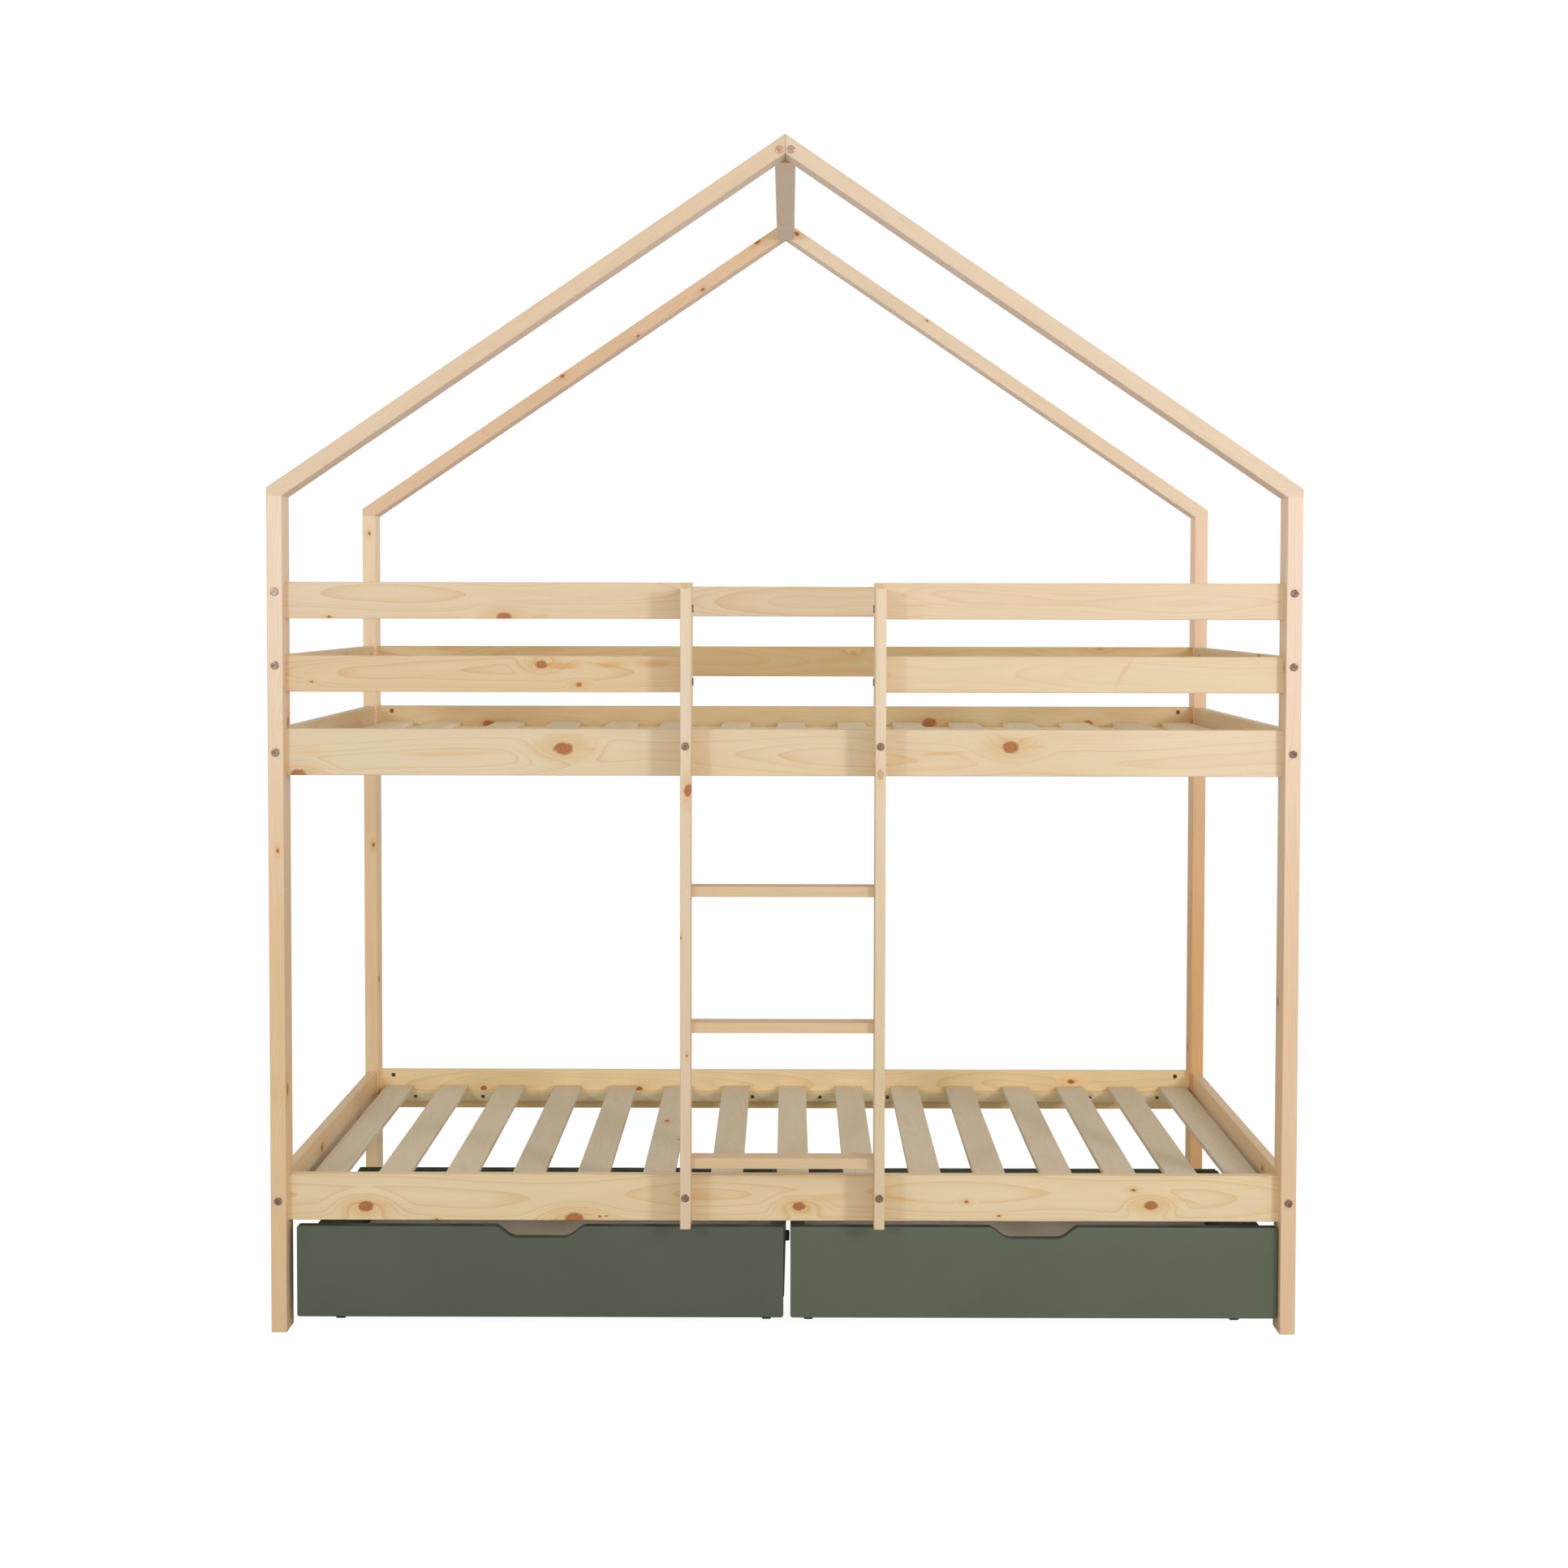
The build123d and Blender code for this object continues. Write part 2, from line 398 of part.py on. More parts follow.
# ================================================================ ladder
with BuildPart() as ladder_left_rail:
    with Locations((LADDER_XL, LADDER_Y0 + LADDER_D / 2, (LADDER_BOTTOM + LADDER_TOP) / 2)):
        Box(BOARD, LADDER_D, LADDER_TOP - LADDER_BOTTOM)
    fillet(ladder_left_rail.edges().filter_by(Axis.Z), SOFTEN)
    with Locations(*[(GP_LEFT - HOUSING / 2, RUNG_Y, z - RUNG_T / 2) for z in RUNG_TOPS]):
        Box(HOUSING, RUNG_D, RUNG_T, mode=Mode.SUBTRACT)
    with Locations(*[(LADDER_XL, RUNG_Y, z - RUNG_T / 2) for z in RUNG_TOPS]):
        Cylinder(SCREW_HOLE_R, BOARD + 2, rotation=(0, 90, 0), mode=Mode.SUBTRACT)
    with Locations(*[(LADDER_XL, LADDER_Y0 + LADDER_D / 2, z) for z in LADDER_BOLT_Z]):
        Cylinder(BOLT_HOLE_R, LADDER_D + 2, rotation=(90, 0, 0), mode=Mode.SUBTRACT)
    with Locations(*[(LADDER_XL, SIDE_Y0 - 14.9, z) for z in GP_SCREW_Z]):
        Cylinder(SCREW_HOLE_R, 30.2, rotation=(90, 0, 0), mode=Mode.SUBTRACT)
ladder_left_rail.part.label = "ladder_left_rail"
export_step(ladder_left_rail.part, "parts/ladder_left_rail.step")

with BuildPart() as ladder_right_rail:
    mirror(ladder_left_rail.part, about=Plane.YZ.offset((LADDER_LEFT + LADDER_RIGHT) / 2))
ladder_right_rail.part.label = "ladder_right_rail"
export_step(ladder_right_rail.part, "parts/ladder_right_rail.step")

with BuildPart() as ladder_rungs:
    with Locations(*[((GP_LEFT + GP_RIGHT) / 2, RUNG_Y, z - RUNG_T / 2) for z in RUNG_TOPS]):
        Box(GP_RIGHT - GP_LEFT + 2 * HOUSING - 0.2, RUNG_D, RUNG_T)
    with Locations(*[(x, RUNG_Y, z - RUNG_T / 2) for z in RUNG_TOPS
                     for x in (GP_LEFT - HOUSING + 16, GP_RIGHT + HOUSING - 16)]):
        Cylinder(SCREW_HOLE_R, 34, rotation=(0, 90, 0), mode=Mode.SUBTRACT)
ladder_rungs.part.label = "ladder_rungs"
export_step(ladder_rungs.part, "parts/ladder_rungs.step")

# ================================================================ bearers and slats
with BuildPart() as slat_bearers:
    with Locations(*[(0, y, z + BEARER_H / 2) for y in (SIDE_Y1 + BOARD / 2, REAR_Y0 - BOARD / 2)
                     for z in (LOWER_BEARER_Z, UPPER_BEARER_Z)]):
        Box(BEARER_X, BOARD, BEARER_H)
    fillet(slat_bearers.edges().filter_by(Axis.X), 1.0)
    with Locations(*[(x, y, z + BEARER_H / 2) for x in BEARER_SCREW_X
                     for y in (SIDE_Y1 + BOARD / 2, REAR_Y0 - BOARD / 2)
                     for z in (LOWER_BEARER_Z, UPPER_BEARER_Z)]):
        Cylinder(SCREW_HOLE_R, BOARD + 2, rotation=(90, 0, 0), mode=Mode.SUBTRACT)
slat_bearers.part.label = "slat_bearers"
export_step(slat_bearers.part, "parts/slat_bearers.step")

with BuildPart() as lower_slats:
    with Locations(*[(x, SLAT_YC, LOWER_BEARER_Z + BEARER_H + SLAT_T / 2) for x in SLAT_X]):
        Box(SLAT_W, SLAT_L, SLAT_T)
    fillet(lower_slats.edges().filter_by(Axis.Y), 1.5)
lower_slats.part.label = "lower_slats"
export_step(lower_slats.part, "parts/lower_slats.step")

with BuildPart() as upper_slats:
    with Locations(*[(x + dx, SLAT_YC, UPPER_BEARER_Z + BEARER_H + SLAT_T / 2) for x, dx in zip(SLAT_X, UPPER_SHIFT)]):
        Box(SLAT_W, SLAT_L, SLAT_T)
    fillet(upper_slats.edges().filter_by(Axis.Y), 1.5)
upper_slats.part.label = "upper_slats"
export_step(upper_slats.part, "parts/upper_slats.step")

# ================================================================ fasteners of the frame
# One furniture bolt: a flat round head with a hexagon socket and a plain shank.
# It is drawn along +X with the underside of its head at the origin.
with BuildPart() as bolt_side:
    with BuildSketch(Plane.YZ):
        Circle(BOLT_R)
    extrude(amount=X_BOLT_L)
    with BuildSketch(Plane.YZ):
        Circle(HEAD_R)
    extrude(amount=-HEAD_T)
    fillet(bolt_side.faces().sort_by(Axis.X)[0].edges(), 1.2)
    with BuildSketch(Plane.YZ.offset(-HEAD_T)):
        RegularPolygon(2.3, 6)
    extrude(amount=1.9, mode=Mode.SUBTRACT)

with BuildPart() as bolt_end:
    with BuildSketch(Plane.YZ):
        Circle(BOLT_R)
    extrude(amount=Y_BOLT_L)
    with BuildSketch(Plane.YZ):
        Circle(HEAD_R)
    extrude(amount=-HEAD_T)
    fillet(bolt_end.faces().sort_by(Axis.X)[0].edges(), 1.2)
    with BuildSketch(Plane.YZ.offset(-HEAD_T)):
        RegularPolygon(2.3, 6)
    extrude(amount=1.9, mode=Mode.SUBTRACT)

with BuildPart() as bolt_guard:
    with BuildSketch(Plane.YZ):
        Circle(BOLT_R)
    extrude(amount=BOARD + NUT_FROM_END + 5)
    with BuildSketch(Plane.YZ):
        Circle(HEAD_R)
    extrude(amount=-HEAD_T)
    fillet(bolt_guard.faces().sort_by(Axis.X)[0].edges(), 1.2)
    with BuildSketch(Plane.YZ.offset(-HEAD_T)):
        RegularPolygon(2.3, 6)
    extrude(amount=1.9, mode=Mode.SUBTRACT)

with BuildPart() as bolt_ladder:
    with BuildSketch(Plane.YZ):
        Circle(BOLT_R)
    extrude(amount=LADDER_D + 13)
    with BuildSketch(Plane.YZ):
        Circle(HEAD_R)
    extrude(amount=-HEAD_T)
    fillet(bolt_ladder.faces().sort_by(Axis.X)[0].edges(), 1.2)
    with BuildSketch(Plane.YZ.offset(-HEAD_T)):
        RegularPolygon(2.3, 6)
    extrude(amount=1.9, mode=Mode.SUBTRACT)

# bolts along the bed, from the outer faces of the posts into the rails and guards
with BuildPart() as side_rail_bolts:
    with Locations(*[Location((-X_OUT, y, z), (0, 0, 0)) for y in (Y_POST, Y_REAR + POST_D / 2) for z in X_BOLT_Z]):
        add(bolt_side.part)
    with Locations(*[Location((X_OUT, y, z), (0, 0, 180)) for y in (Y_POST, Y_REAR + POST_D / 2) for z in X_BOLT_Z]):
        add(bolt_side.part)
side_rail_bolts.part.label = "side_rail_bolts"
export_step(side_rail_bolts.part, "parts/side_rail_bolts.step")

# bolts across the bed, from the front and rear faces of the posts into the end boards
with BuildPart() as end_rail_bolts:
    with Locations(*[Location((sx * X_POST, Y_FRONT, z), (0, 0, 90)) for sx in (-1, 1) for z in Y_BOLT_Z]):
        add(bolt_end.part)
    with Locations(*[Location((sx * X_POST, Y_REAR + POST_D, z), (0, 0, -90)) for sx in (-1, 1) for z in Y_BOLT_Z]):
        add(bolt_end.part)
end_rail_bolts.part.label = "end_rail_bolts"
export_step(end_rail_bolts.part, "parts/end_rail_bolts.step")

with BuildPart() as guard_post_bolts:
    with Locations(*[Location((GP_LEFT, Y_POST, z), (0, 0, 180)) for z in GP_BOLT_Z]):
        add(bolt_guard.part)
    with Locations(*[Location((GP_RIGHT, Y_POST, z), (0, 0, 0)) for z in GP_BOLT_Z]):
        add(bolt_guard.part)
guard_post_bolts.part.label = "guard_post_bolts"
export_step(guard_post_bolts.part, "parts/guard_post_bolts.step")

with BuildPart() as ladder_bolts:
    with Locations(*[Location((x, LADDER_Y0, z), (0, 0, 90)) for x in (LADDER_XL, LADDER_XR) for z in LADDER_BOLT_Z]):
        add(bolt_ladder.part)
ladder_bolts.part.label = "ladder_bolts"
export_step(ladder_bolts.part, "parts/ladder_bolts.step")

with BuildPart() as ridge_bolts:
    with Locations(*[Location((sx * RIDGE_BOLT_X, Y_FRONT, RIDGE_BOLT_Z), (0, 0, 90)) for sx in (-1, 1)]):
        add(bolt_end.part)
    with Locations(*[Location((sx * RIDGE_BOLT_X, Y_REAR + POST_D, RIDGE_BOLT_Z), (0, 0, -90)) for sx in (-1, 1)]):
        add(bolt_end.part)
ridge_bolts.part.label = "ridge_bolts"
export_step(ridge_bolts.part, "parts/ridge_bolts.step")

# One barrel nut, along Y, cross-drilled along X, with a screwdriver slot at its -Y end.
with BuildPart() as barrel_nut:
    with BuildSketch(Plane.XZ):
        Circle(NUT_R)
    extrude(amount=NUT_L / 2, both=True)
    Cylinder(BOLT_R + 0.1, 2 * NUT_R + 2, rotation=(0, 90, 0), mode=Mode.SUBTRACT)
    with Locations((0, -NUT_L / 2 + 0.6, 0)):
        Box(7.5, 1.2, 1.3, mode=Mode.SUBTRACT)

with BuildPart() as frame_nuts:
    # in the rear rails and guards (slot towards the bed) and in the front ones
    with Locations(*[(sx * X_NUT, Y_REAR + POST_D / 2, z) for sx in (-1, 1) for z in X_BOLT_Z]):
        add(barrel_nut.part)
    with Locations(*[Location((sx * X_NUT, Y_POST, z), (0, 0, 180)) for sx in (-1, 1) for z in X_BOLT_Z]):
        add(barrel_nut.part)
    with Locations(*[Location((x, Y_POST, z), (0, 0, 180)) for x in (LADDER_LEFT - NUT_FROM_END, LADDER_RIGHT + NUT_FROM_END)
                     for z in GP_BOLT_Z]):
        add(barrel_nut.part)
    # in the end rails and guards
    with Locations(*[Location((-X_POST, y, z), (0, 0, 90)) for y in (Y_NUT_F, Y_NUT_R) for z in Y_BOLT_Z]):
        add(barrel_nut.part)
    with Locations(*[Location((X_POST, y, z), (0, 0, -90)) for y in (Y_NUT_F, Y_NUT_R) for z in Y_BOLT_Z]):
        add(barrel_nut.part)
    # upright in the ridge beam: a plain pin, cross-drilled along Y
    with Locations(*[(sx * RIDGE_BOLT_X, y, RIDGE_BOLT_Z) for sx in (-1, 1) for y in (Y_NUT_F, Y_NUT_R)]):
        Cylinder(NUT_R, 12)
    with Locations(*[(sx * RIDGE_BOLT_X, y, RIDGE_BOLT_Z) for sx in (-1, 1) for y in (Y_NUT_F, Y_NUT_R)]):
        Cylinder(BOLT_R + 0.1, 12, rotation=(90, 0, 0), mode=Mode.SUBTRACT)
    # threaded inserts for the ladder bolts
    with Locations(*[(x, SIDE_Y0 + 7.5, z) for x in (LADDER_XL, LADDER_XR) for z in LADDER_BOLT_Z]):
        Cylinder(NUT_R, 15, rotation=(90, 0, 0))
    with Locations(*[(x, SIDE_Y0 + 7.5, z) for x in (LADDER_XL, LADDER_XR) for z in LADDER_BOLT_Z]):
        Cylinder(BOLT_R + 0.1, 17, rotation=(90, 0, 0), mode=Mode.SUBTRACT)
frame_nuts.part.label = "frame_nuts"
export_step(frame_nuts.part, "parts/frame_nuts.step")

with BuildPart() as dowels:
    # rafter heels
    with Locations(*[(sx * X_POST, y + dy, POST_TOP - 2) for sx in (-1, 1) for y in (Y_POST, Y_REAR + POST_D / 2)
                     for dy in (-15, 15)]):
        Cylinder(DOWEL_R, 36)
    # end rails and end guards
    with Locations(*[(sx * X_POST, y, z) for sx in (-1, 1)
                     for y in (END_Y0 + 5.25, END_Y1 - 5.25)
                     for z in (LOWER_MID - 25, LOWER_MID + 22, UPPER_MID - 25, UPPER_MID + 25,
                               LOW_G_MID - 18, TOP_G_MID - 18)]):
        Cylinder(DOWEL_R, 38, rotation=(90, 0, 0))
    # side guards
    with Locations(*[(sx * (X_IN - 8.25), y, z) for sx in (-1, 1) for y in (Y_POST, Y_REAR + POST_D / 2)
                     for z in (LOW_G_MID + 18, TOP_G_MID + 18)]):
        Cylinder(DOWEL_R, 32, rotation=(0, 90, 0))
dowels.part.label = "dowels"
export_step(dowels.part, "parts/dowels.step")

# One pan-head wood screw, along +X from the underside of its head; three lengths.
with BuildPart() as screw_33:
    with BuildSketch(Plane.YZ):
        Circle(SCREW_R)
    extrude(amount=33)
    with BuildSketch(Plane.YZ):
        Circle(SCREW_HEAD_R)
    extrude(amount=-SCREW_HEAD_T)
    fillet(screw_33.faces().sort_by(Axis.X)[0].edges(), 0.9)
    with Locations((-SCREW_HEAD_T + 0.4, 0, 0)):
        Box(0.8, 4.6, 1.0, mode=Mode.SUBTRACT)
        Box(0.8, 1.0, 4.6, mode=Mode.SUBTRACT)

with BuildPart() as screw_68:
    with BuildSketch(Plane.YZ):
        Circle(SCREW_R)
    extrude(amount=68)
    with BuildSketch(Plane.YZ):
        Circle(SCREW_HEAD_R)
    extrude(amount=-SCREW_HEAD_T)
    fillet(screw_68.faces().sort_by(Axis.X)[0].edges(), 0.9)
    with Locations((-SCREW_HEAD_T + 0.4, 0, 0)):
        Box(0.8, 4.6, 1.0, mode=Mode.SUBTRACT)
        Box(0.8, 1.0, 4.6, mode=Mode.SUBTRACT)

with BuildPart() as screw_14:
    with BuildSketch(Plane.YZ):
        Circle(SCREW_R)
    extrude(amount=14)
    with BuildSketch(Plane.YZ):
        Circle(SCREW_HEAD_R)
    extrude(amount=-SCREW_HEAD_T)
    fillet(screw_14.faces().sort_by(Axis.X)[0].edges(), 0.9)

with BuildPart() as bearer_screws:
    with Locations(*[Location((x, REAR_Y0 - BOARD, z + BEARER_H / 2), (0, 0, 90)) for x in BEARER_SCREW_X
                     for z in (LOWER_BEARER_Z, UPPER_BEARER_Z)]):
        add(screw_33.part)
    with Locations(*[Location((x, SIDE_Y1 + BOARD, z + BEARER_H / 2), (0, 0, -90)) for x in BEARER_SCREW_X
                     for z in (LOWER_BEARER_Z, UPPER_BEARER_Z)]):
        add(screw_33.part)
bearer_screws.part.label = "bearer_screws"
export_step(bearer_screws.part, "parts/bearer_screws.step")

with BuildPart() as ladder_screws:
    # rung screws from the outer faces of the ladder rails
    with Locations(*[Location((LADDER_LEFT, RUNG_Y, z - RUNG_T / 2), (0, 0, 0)) for z in RUNG_TOPS]):
        add(screw_33.part)
    with Locations(*[Location((LADDER_RIGHT, RUNG_Y, z - RUNG_T / 2), (0, 0, 180)) for z in RUNG_TOPS]):
        add(screw_33.part)
    # guard posts to the ladder rails, and their laps to the rail
    with Locations(*[Location((x, SIDE_Y1 + BOARD, z), (0, 0, -90)) for x in (LADDER_XL, LADDER_XR) for z in GP_SCREW_Z]):
        add(screw_68.part)
    with Locations(*[Location((x, SIDE_Y1 + BOARD, 1154.0), (0, 0, -90)) for x in (LADDER_XL, LADDER_XR)]):
        add(screw_33.part)
ladder_screws.part.label = "ladder_screws"
export_step(ladder_screws.part, "parts/ladder_screws.step")

# ================================================================ drawers
DF_Y0 = Y_FRONT + DRAWER_SET_BACK          # front face of the drawer fronts
DF_Y1 = DF_Y0 + DRAWER_FRONT_T
DB_Y1 = DF_Y0 + DRAWER_DEPTH               # rear face of the drawer backs
DB_Y0 = DB_Y1 - BACK_T
L_FRONT_X0 = -943.5
L_FRONT_X1 = L_FRONT_X0 + DRAWER_W
R_FRONT_X0 = 14.0
R_FRONT_X1 = R_FRONT_X0 + DRAWER_W
L_BOX_X0 = -907.0
L_BOX_X1 = L_BOX_X0 + BOX_W
R_BOX_X0 = 14.5
R_BOX_X1 = R_BOX_X0 + BOX_W
CUT_HALF = 86.0            # handle cut-out, half width at the top edge
CUT_FLAT = 42.0            # half width of its flat bottom
CUT_DEEP = 22.5
CLEAT_W = 40.0
BLOCK_X = 12.0             # corner blocks
BLOCK_Y = 28.0
FLARE = 3.5
SIDE_L = DB_Y0 - DF_Y1
SIDE_YC = (DF_Y1 + DB_Y0) / 2
CASTOR_Y = (-387.0, -90.0)
PLATE_T = 2.0
FORK_IN = WHEEL_W / 2 + 1.2
FORK_T = 2.0
BOX_H = BOX_TOP - BOX_BOTTOM
BOX_ZC = (BOX_TOP + BOX_BOTTOM) / 2
FRONT_SCREW_Z = (130.0, 178.0)
BACK_SCREW_Z = (118.0, 172.0)

with BuildPart() as left_drawer_front:
    with BuildSketch(Plane.XZ.offset(-DF_Y0)):
        with Locations(((L_FRONT_X0 + L_FRONT_X1) / 2, DRAWER_Z + DRAWER_H / 2)):
            RectangleRounded(DRAWER_W, DRAWER_H, 5)
    extrude(amount=-DRAWER_FRONT_T)
    # scooped handle cut-out in the top edge: a flat bottom with S-curved sides
    with BuildSketch(Plane.XZ.offset(-DF_Y0 + 1)):
        with BuildLine():
            l_c = (L_FRONT_X0 + L_FRONT_X1) / 2
            l_top = DRAWER_Z + DRAWER_H
            l_a = Spline((l_c - CUT_HALF, l_top), (l_c - CUT_FLAT, l_top - CUT_DEEP),
                         tangents=((1, -0.35), (1, 0)))
            l_b = Line((l_c - CUT_FLAT, l_top - CUT_DEEP), (l_c + CUT_FLAT, l_top - CUT_DEEP))
            l_d = Spline((l_c + CUT_FLAT, l_top - CUT_DEEP), (l_c + CUT_HALF, l_top),
                         tangents=((1, 0), (1, 0.35)))
            Polyline((l_c + CUT_HALF, l_top), (l_c + CUT_HALF, l_top + 5), (l_c - CUT_HALF, l_top + 5),
                     (l_c - CUT_HALF, l_top))
        make_face()
    extrude(amount=-DRAWER_FRONT_T - 2, mode=Mode.SUBTRACT)
    fillet(left_drawer_front.faces().sort_by(Axis.Y)[0].edges(), 1.2)
    with Locations((L_BOX_X0 + BOX_W / 2, DF_Y1 - GROOVE / 2 + 0.1, PANEL_Z + PANEL_T / 2)):
        Box(BOX_W - 2 * SIDE_T + 2 * GROOVE + 0.6, GROOVE + 0.3, PANEL_T + 0.2, mode=Mode.SUBTRACT)
    with Locations(*[(x, DF_Y1 - 6.9, z) for x in (L_BOX_X0 + SIDE_T + BLOCK_X / 2, L_BOX_X1 - SIDE_T - BLOCK_X / 2)
                     for z in FRONT_SCREW_Z]):
        Cylinder(SCREW_HOLE_R, 14.2, rotation=(90, 0, 0), mode=Mode.SUBTRACT)
left_drawer_front.part.label = "left_drawer_front"
export_step(left_drawer_front.part, "parts/left_drawer_front.step")

with BuildPart() as left_drawer_sides:
    with Locations((L_BOX_X0 + SIDE_T / 2, SIDE_YC, BOX_ZC)):
        Box(SIDE_T, SIDE_L, BOX_H)
    # the right-hand side flares outwards towards its top edge
    with BuildSketch(Plane.XZ.offset(-DF_Y1)):
        with BuildLine():
            Polyline((L_BOX_X1 - SIDE_T, BOX_BOTTOM), (L_BOX_X1, BOX_BOTTOM), (L_BOX_X1 + FLARE, BOX_TOP),
                     (L_BOX_X1 - SIDE_T, BOX_TOP), close=True)
        make_face()
    extrude(amount=-SIDE_L)
    fillet(left_drawer_sides.edges().filter_by(Axis.Y).group_by(Axis.Z)[-1], 1.5)
    with Locations((L_BOX_X0 + BOX_W / 2, SIDE_YC, PANEL_Z + PANEL_T / 2)):
        Box(BOX_W - 2 * SIDE_T + 2 * GROOVE + 0.6, SIDE_L + 2, PANEL_T + 0.2, mode=Mode.SUBTRACT)
    with Locations(*[(x, DB_Y0 - 14.4, z) for x in (L_BOX_X0 + SIDE_T / 2, L_BOX_X1 - SIDE_T / 2) for z in BACK_SCREW_Z]):
        Cylinder(SCREW_HOLE_R, 29.2, rotation=(90, 0, 0), mode=Mode.SUBTRACT)
left_drawer_sides.part.label = "left_drawer_sides"
export_step(left_drawer_sides.part, "parts/left_drawer_sides.step")

with BuildPart() as left_drawer_back:
    with Locations((L_BOX_X0 + BOX_W / 2, (DB_Y0 + DB_Y1) / 2, BOX_ZC)):
        Box(BOX_W, BACK_T, BOX_H)
    fillet(left_drawer_back.edges().filter_by(Axis.X).group_by(Axis.Z)[-1], 1.5)
    with Locations((L_BOX_X0 + BOX_W / 2, DB_Y0 + GROOVE / 2 - 0.1, PANEL_Z + PANEL_T / 2)):
        Box(BOX_W - 2 * SIDE_T + 2 * GROOVE + 0.6, GROOVE + 0.3, PANEL_T + 0.2, mode=Mode.SUBTRACT)
    with Locations(*[(x, (DB_Y0 + DB_Y1) / 2, z) for x in (L_BOX_X0 + SIDE_T / 2, L_BOX_X1 - SIDE_T / 2)
                     for z in BACK_SCREW_Z]):
        Cylinder(SCREW_HOLE_R, BACK_T + 2, rotation=(90, 0, 0), mode=Mode.SUBTRACT)
left_drawer_back.part.label = "left_drawer_back"
export_step(left_drawer_back.part, "parts/left_drawer_back.step")

with BuildPart() as left_drawer_bottom:
    with Locations((L_BOX_X0 + BOX_W / 2, SIDE_YC, PANEL_Z + PANEL_T / 2)):
        Box(BOX_W - 2 * SIDE_T + 2 * GROOVE - 0.4, SIDE_L + 2 * GROOVE - 0.4, PANEL_T)
left_drawer_bottom.part.label = "left_drawer_bottom"
export_step(left_drawer_bottom.part, "parts/left_drawer_bottom.step")

# long cleats under the bottom panel carry the castors; upright blocks stiffen the corners
with BuildPart() as left_drawer_cleats:
    with Locations(*[(x, SIDE_YC, (BOX_BOTTOM + PANEL_Z) / 2) for x in
                     (L_BOX_X0 + SIDE_T + CLEAT_W / 2, L_BOX_X1 - SIDE_T - CLEAT_W / 2)]):
        Box(CLEAT_W, SIDE_L, PANEL_Z - BOX_BOTTOM)
    with Locations(*[(x, y, (PANEL_Z + PANEL_T + BOX_TOP) / 2) for x in
                     (L_BOX_X0 + SIDE_T + BLOCK_X / 2, L_BOX_X1 - SIDE_T - BLOCK_X / 2)
                     for y in (DF_Y1 + BLOCK_Y / 2, DB_Y0 - BLOCK_Y / 2)]):
        Box(BLOCK_X, BLOCK_Y, BOX_TOP - PANEL_Z - PANEL_T)
    with Locations(*[(x, DF_Y1 + BLOCK_Y / 2, z) for x in
                     (L_BOX_X0 + SIDE_T + BLOCK_X / 2, L_BOX_X1 - SIDE_T - BLOCK_X / 2) for z in FRONT_SCREW_Z]):
        Cylinder(SCREW_HOLE_R, BLOCK_Y + 2, rotation=(90, 0, 0), mode=Mode.SUBTRACT)
    with Locations(*[(x + dx, y + dy, BOX_BOTTOM + 6.9) for x in
                     (L_BOX_X0 + SIDE_T + CLEAT_W / 2, L_BOX_X1 - SIDE_T - CLEAT_W / 2)
                     for y in CASTOR_Y for dx in (-13, 13) for dy in (-24, 24)]):
        Cylinder(SCREW_HOLE_R, 14.2, mode=Mode.SUBTRACT)
left_drawer_cleats.part.label = "left_drawer_cleats"
export_step(left_drawer_cleats.part, "parts/left_drawer_cleats.step")

# fixed castors: a pressed plate with two legs, drilled for the axle
with BuildPart() as left_drawer_castor_forks:
    with Locations(*[(x, y, BOX_BOTTOM - PLATE_T / 2) for x in
                     (L_BOX_X0 + SIDE_T + CLEAT_W / 2, L_BOX_X1 - SIDE_T - CLEAT_W / 2) for y in CASTOR_Y]):
        Box(36, 60, PLATE_T)
    for leg in (-1, 1):
        with Locations(*[(x + leg * (FORK_IN + FORK_T / 2), y, (BOX_BOTTOM + AXLE_Z - 7) / 2 - PLATE_T / 2) for x in
                         (L_BOX_X0 + SIDE_T + CLEAT_W / 2, L_BOX_X1 - SIDE_T - CLEAT_W / 2) for y in CASTOR_Y]):
            Box(FORK_T, 26, BOX_BOTTOM - PLATE_T - AXLE_Z + 7)
    with Locations(*[(x, y, AXLE_Z) for x in
                     (L_BOX_X0 + SIDE_T + CLEAT_W / 2, L_BOX_X1 - SIDE_T - CLEAT_W / 2) for y in CASTOR_Y]):
        Cylinder(AXLE_R + 0.03, 40, rotation=(0, 90, 0), mode=Mode.SUBTRACT)
    with Locations(*[(x + dx, y + dy, BOX_BOTTOM - PLATE_T / 2) for x in
                     (L_BOX_X0 + SIDE_T + CLEAT_W / 2, L_BOX_X1 - SIDE_T - CLEAT_W / 2)
                     for y in CASTOR_Y for dx in (-13, 13) for dy in (-24, 24)]):
        Cylinder(SCREW_HOLE_R, PLATE_T + 1, mode=Mode.SUBTRACT)
left_drawer_castor_forks.part.label = "left_drawer_castor_forks"
export_step(left_drawer_castor_forks.part, "parts/left_drawer_castor_forks.step")

with BuildPart() as left_drawer_axles:
    with Locations(*[(x, y, AXLE_Z) for x in
                     (L_BOX_X0 + SIDE_T + CLEAT_W / 2, L_BOX_X1 - SIDE_T - CLEAT_W / 2) for y in CASTOR_Y]):
        Cylinder(AXLE_R, 2 * (FORK_IN + FORK_T) + 3, rotation=(0, 90, 0))
left_drawer_axles.part.label = "left_drawer_axles"
export_step(left_drawer_axles.part, "parts/left_drawer_axles.step")

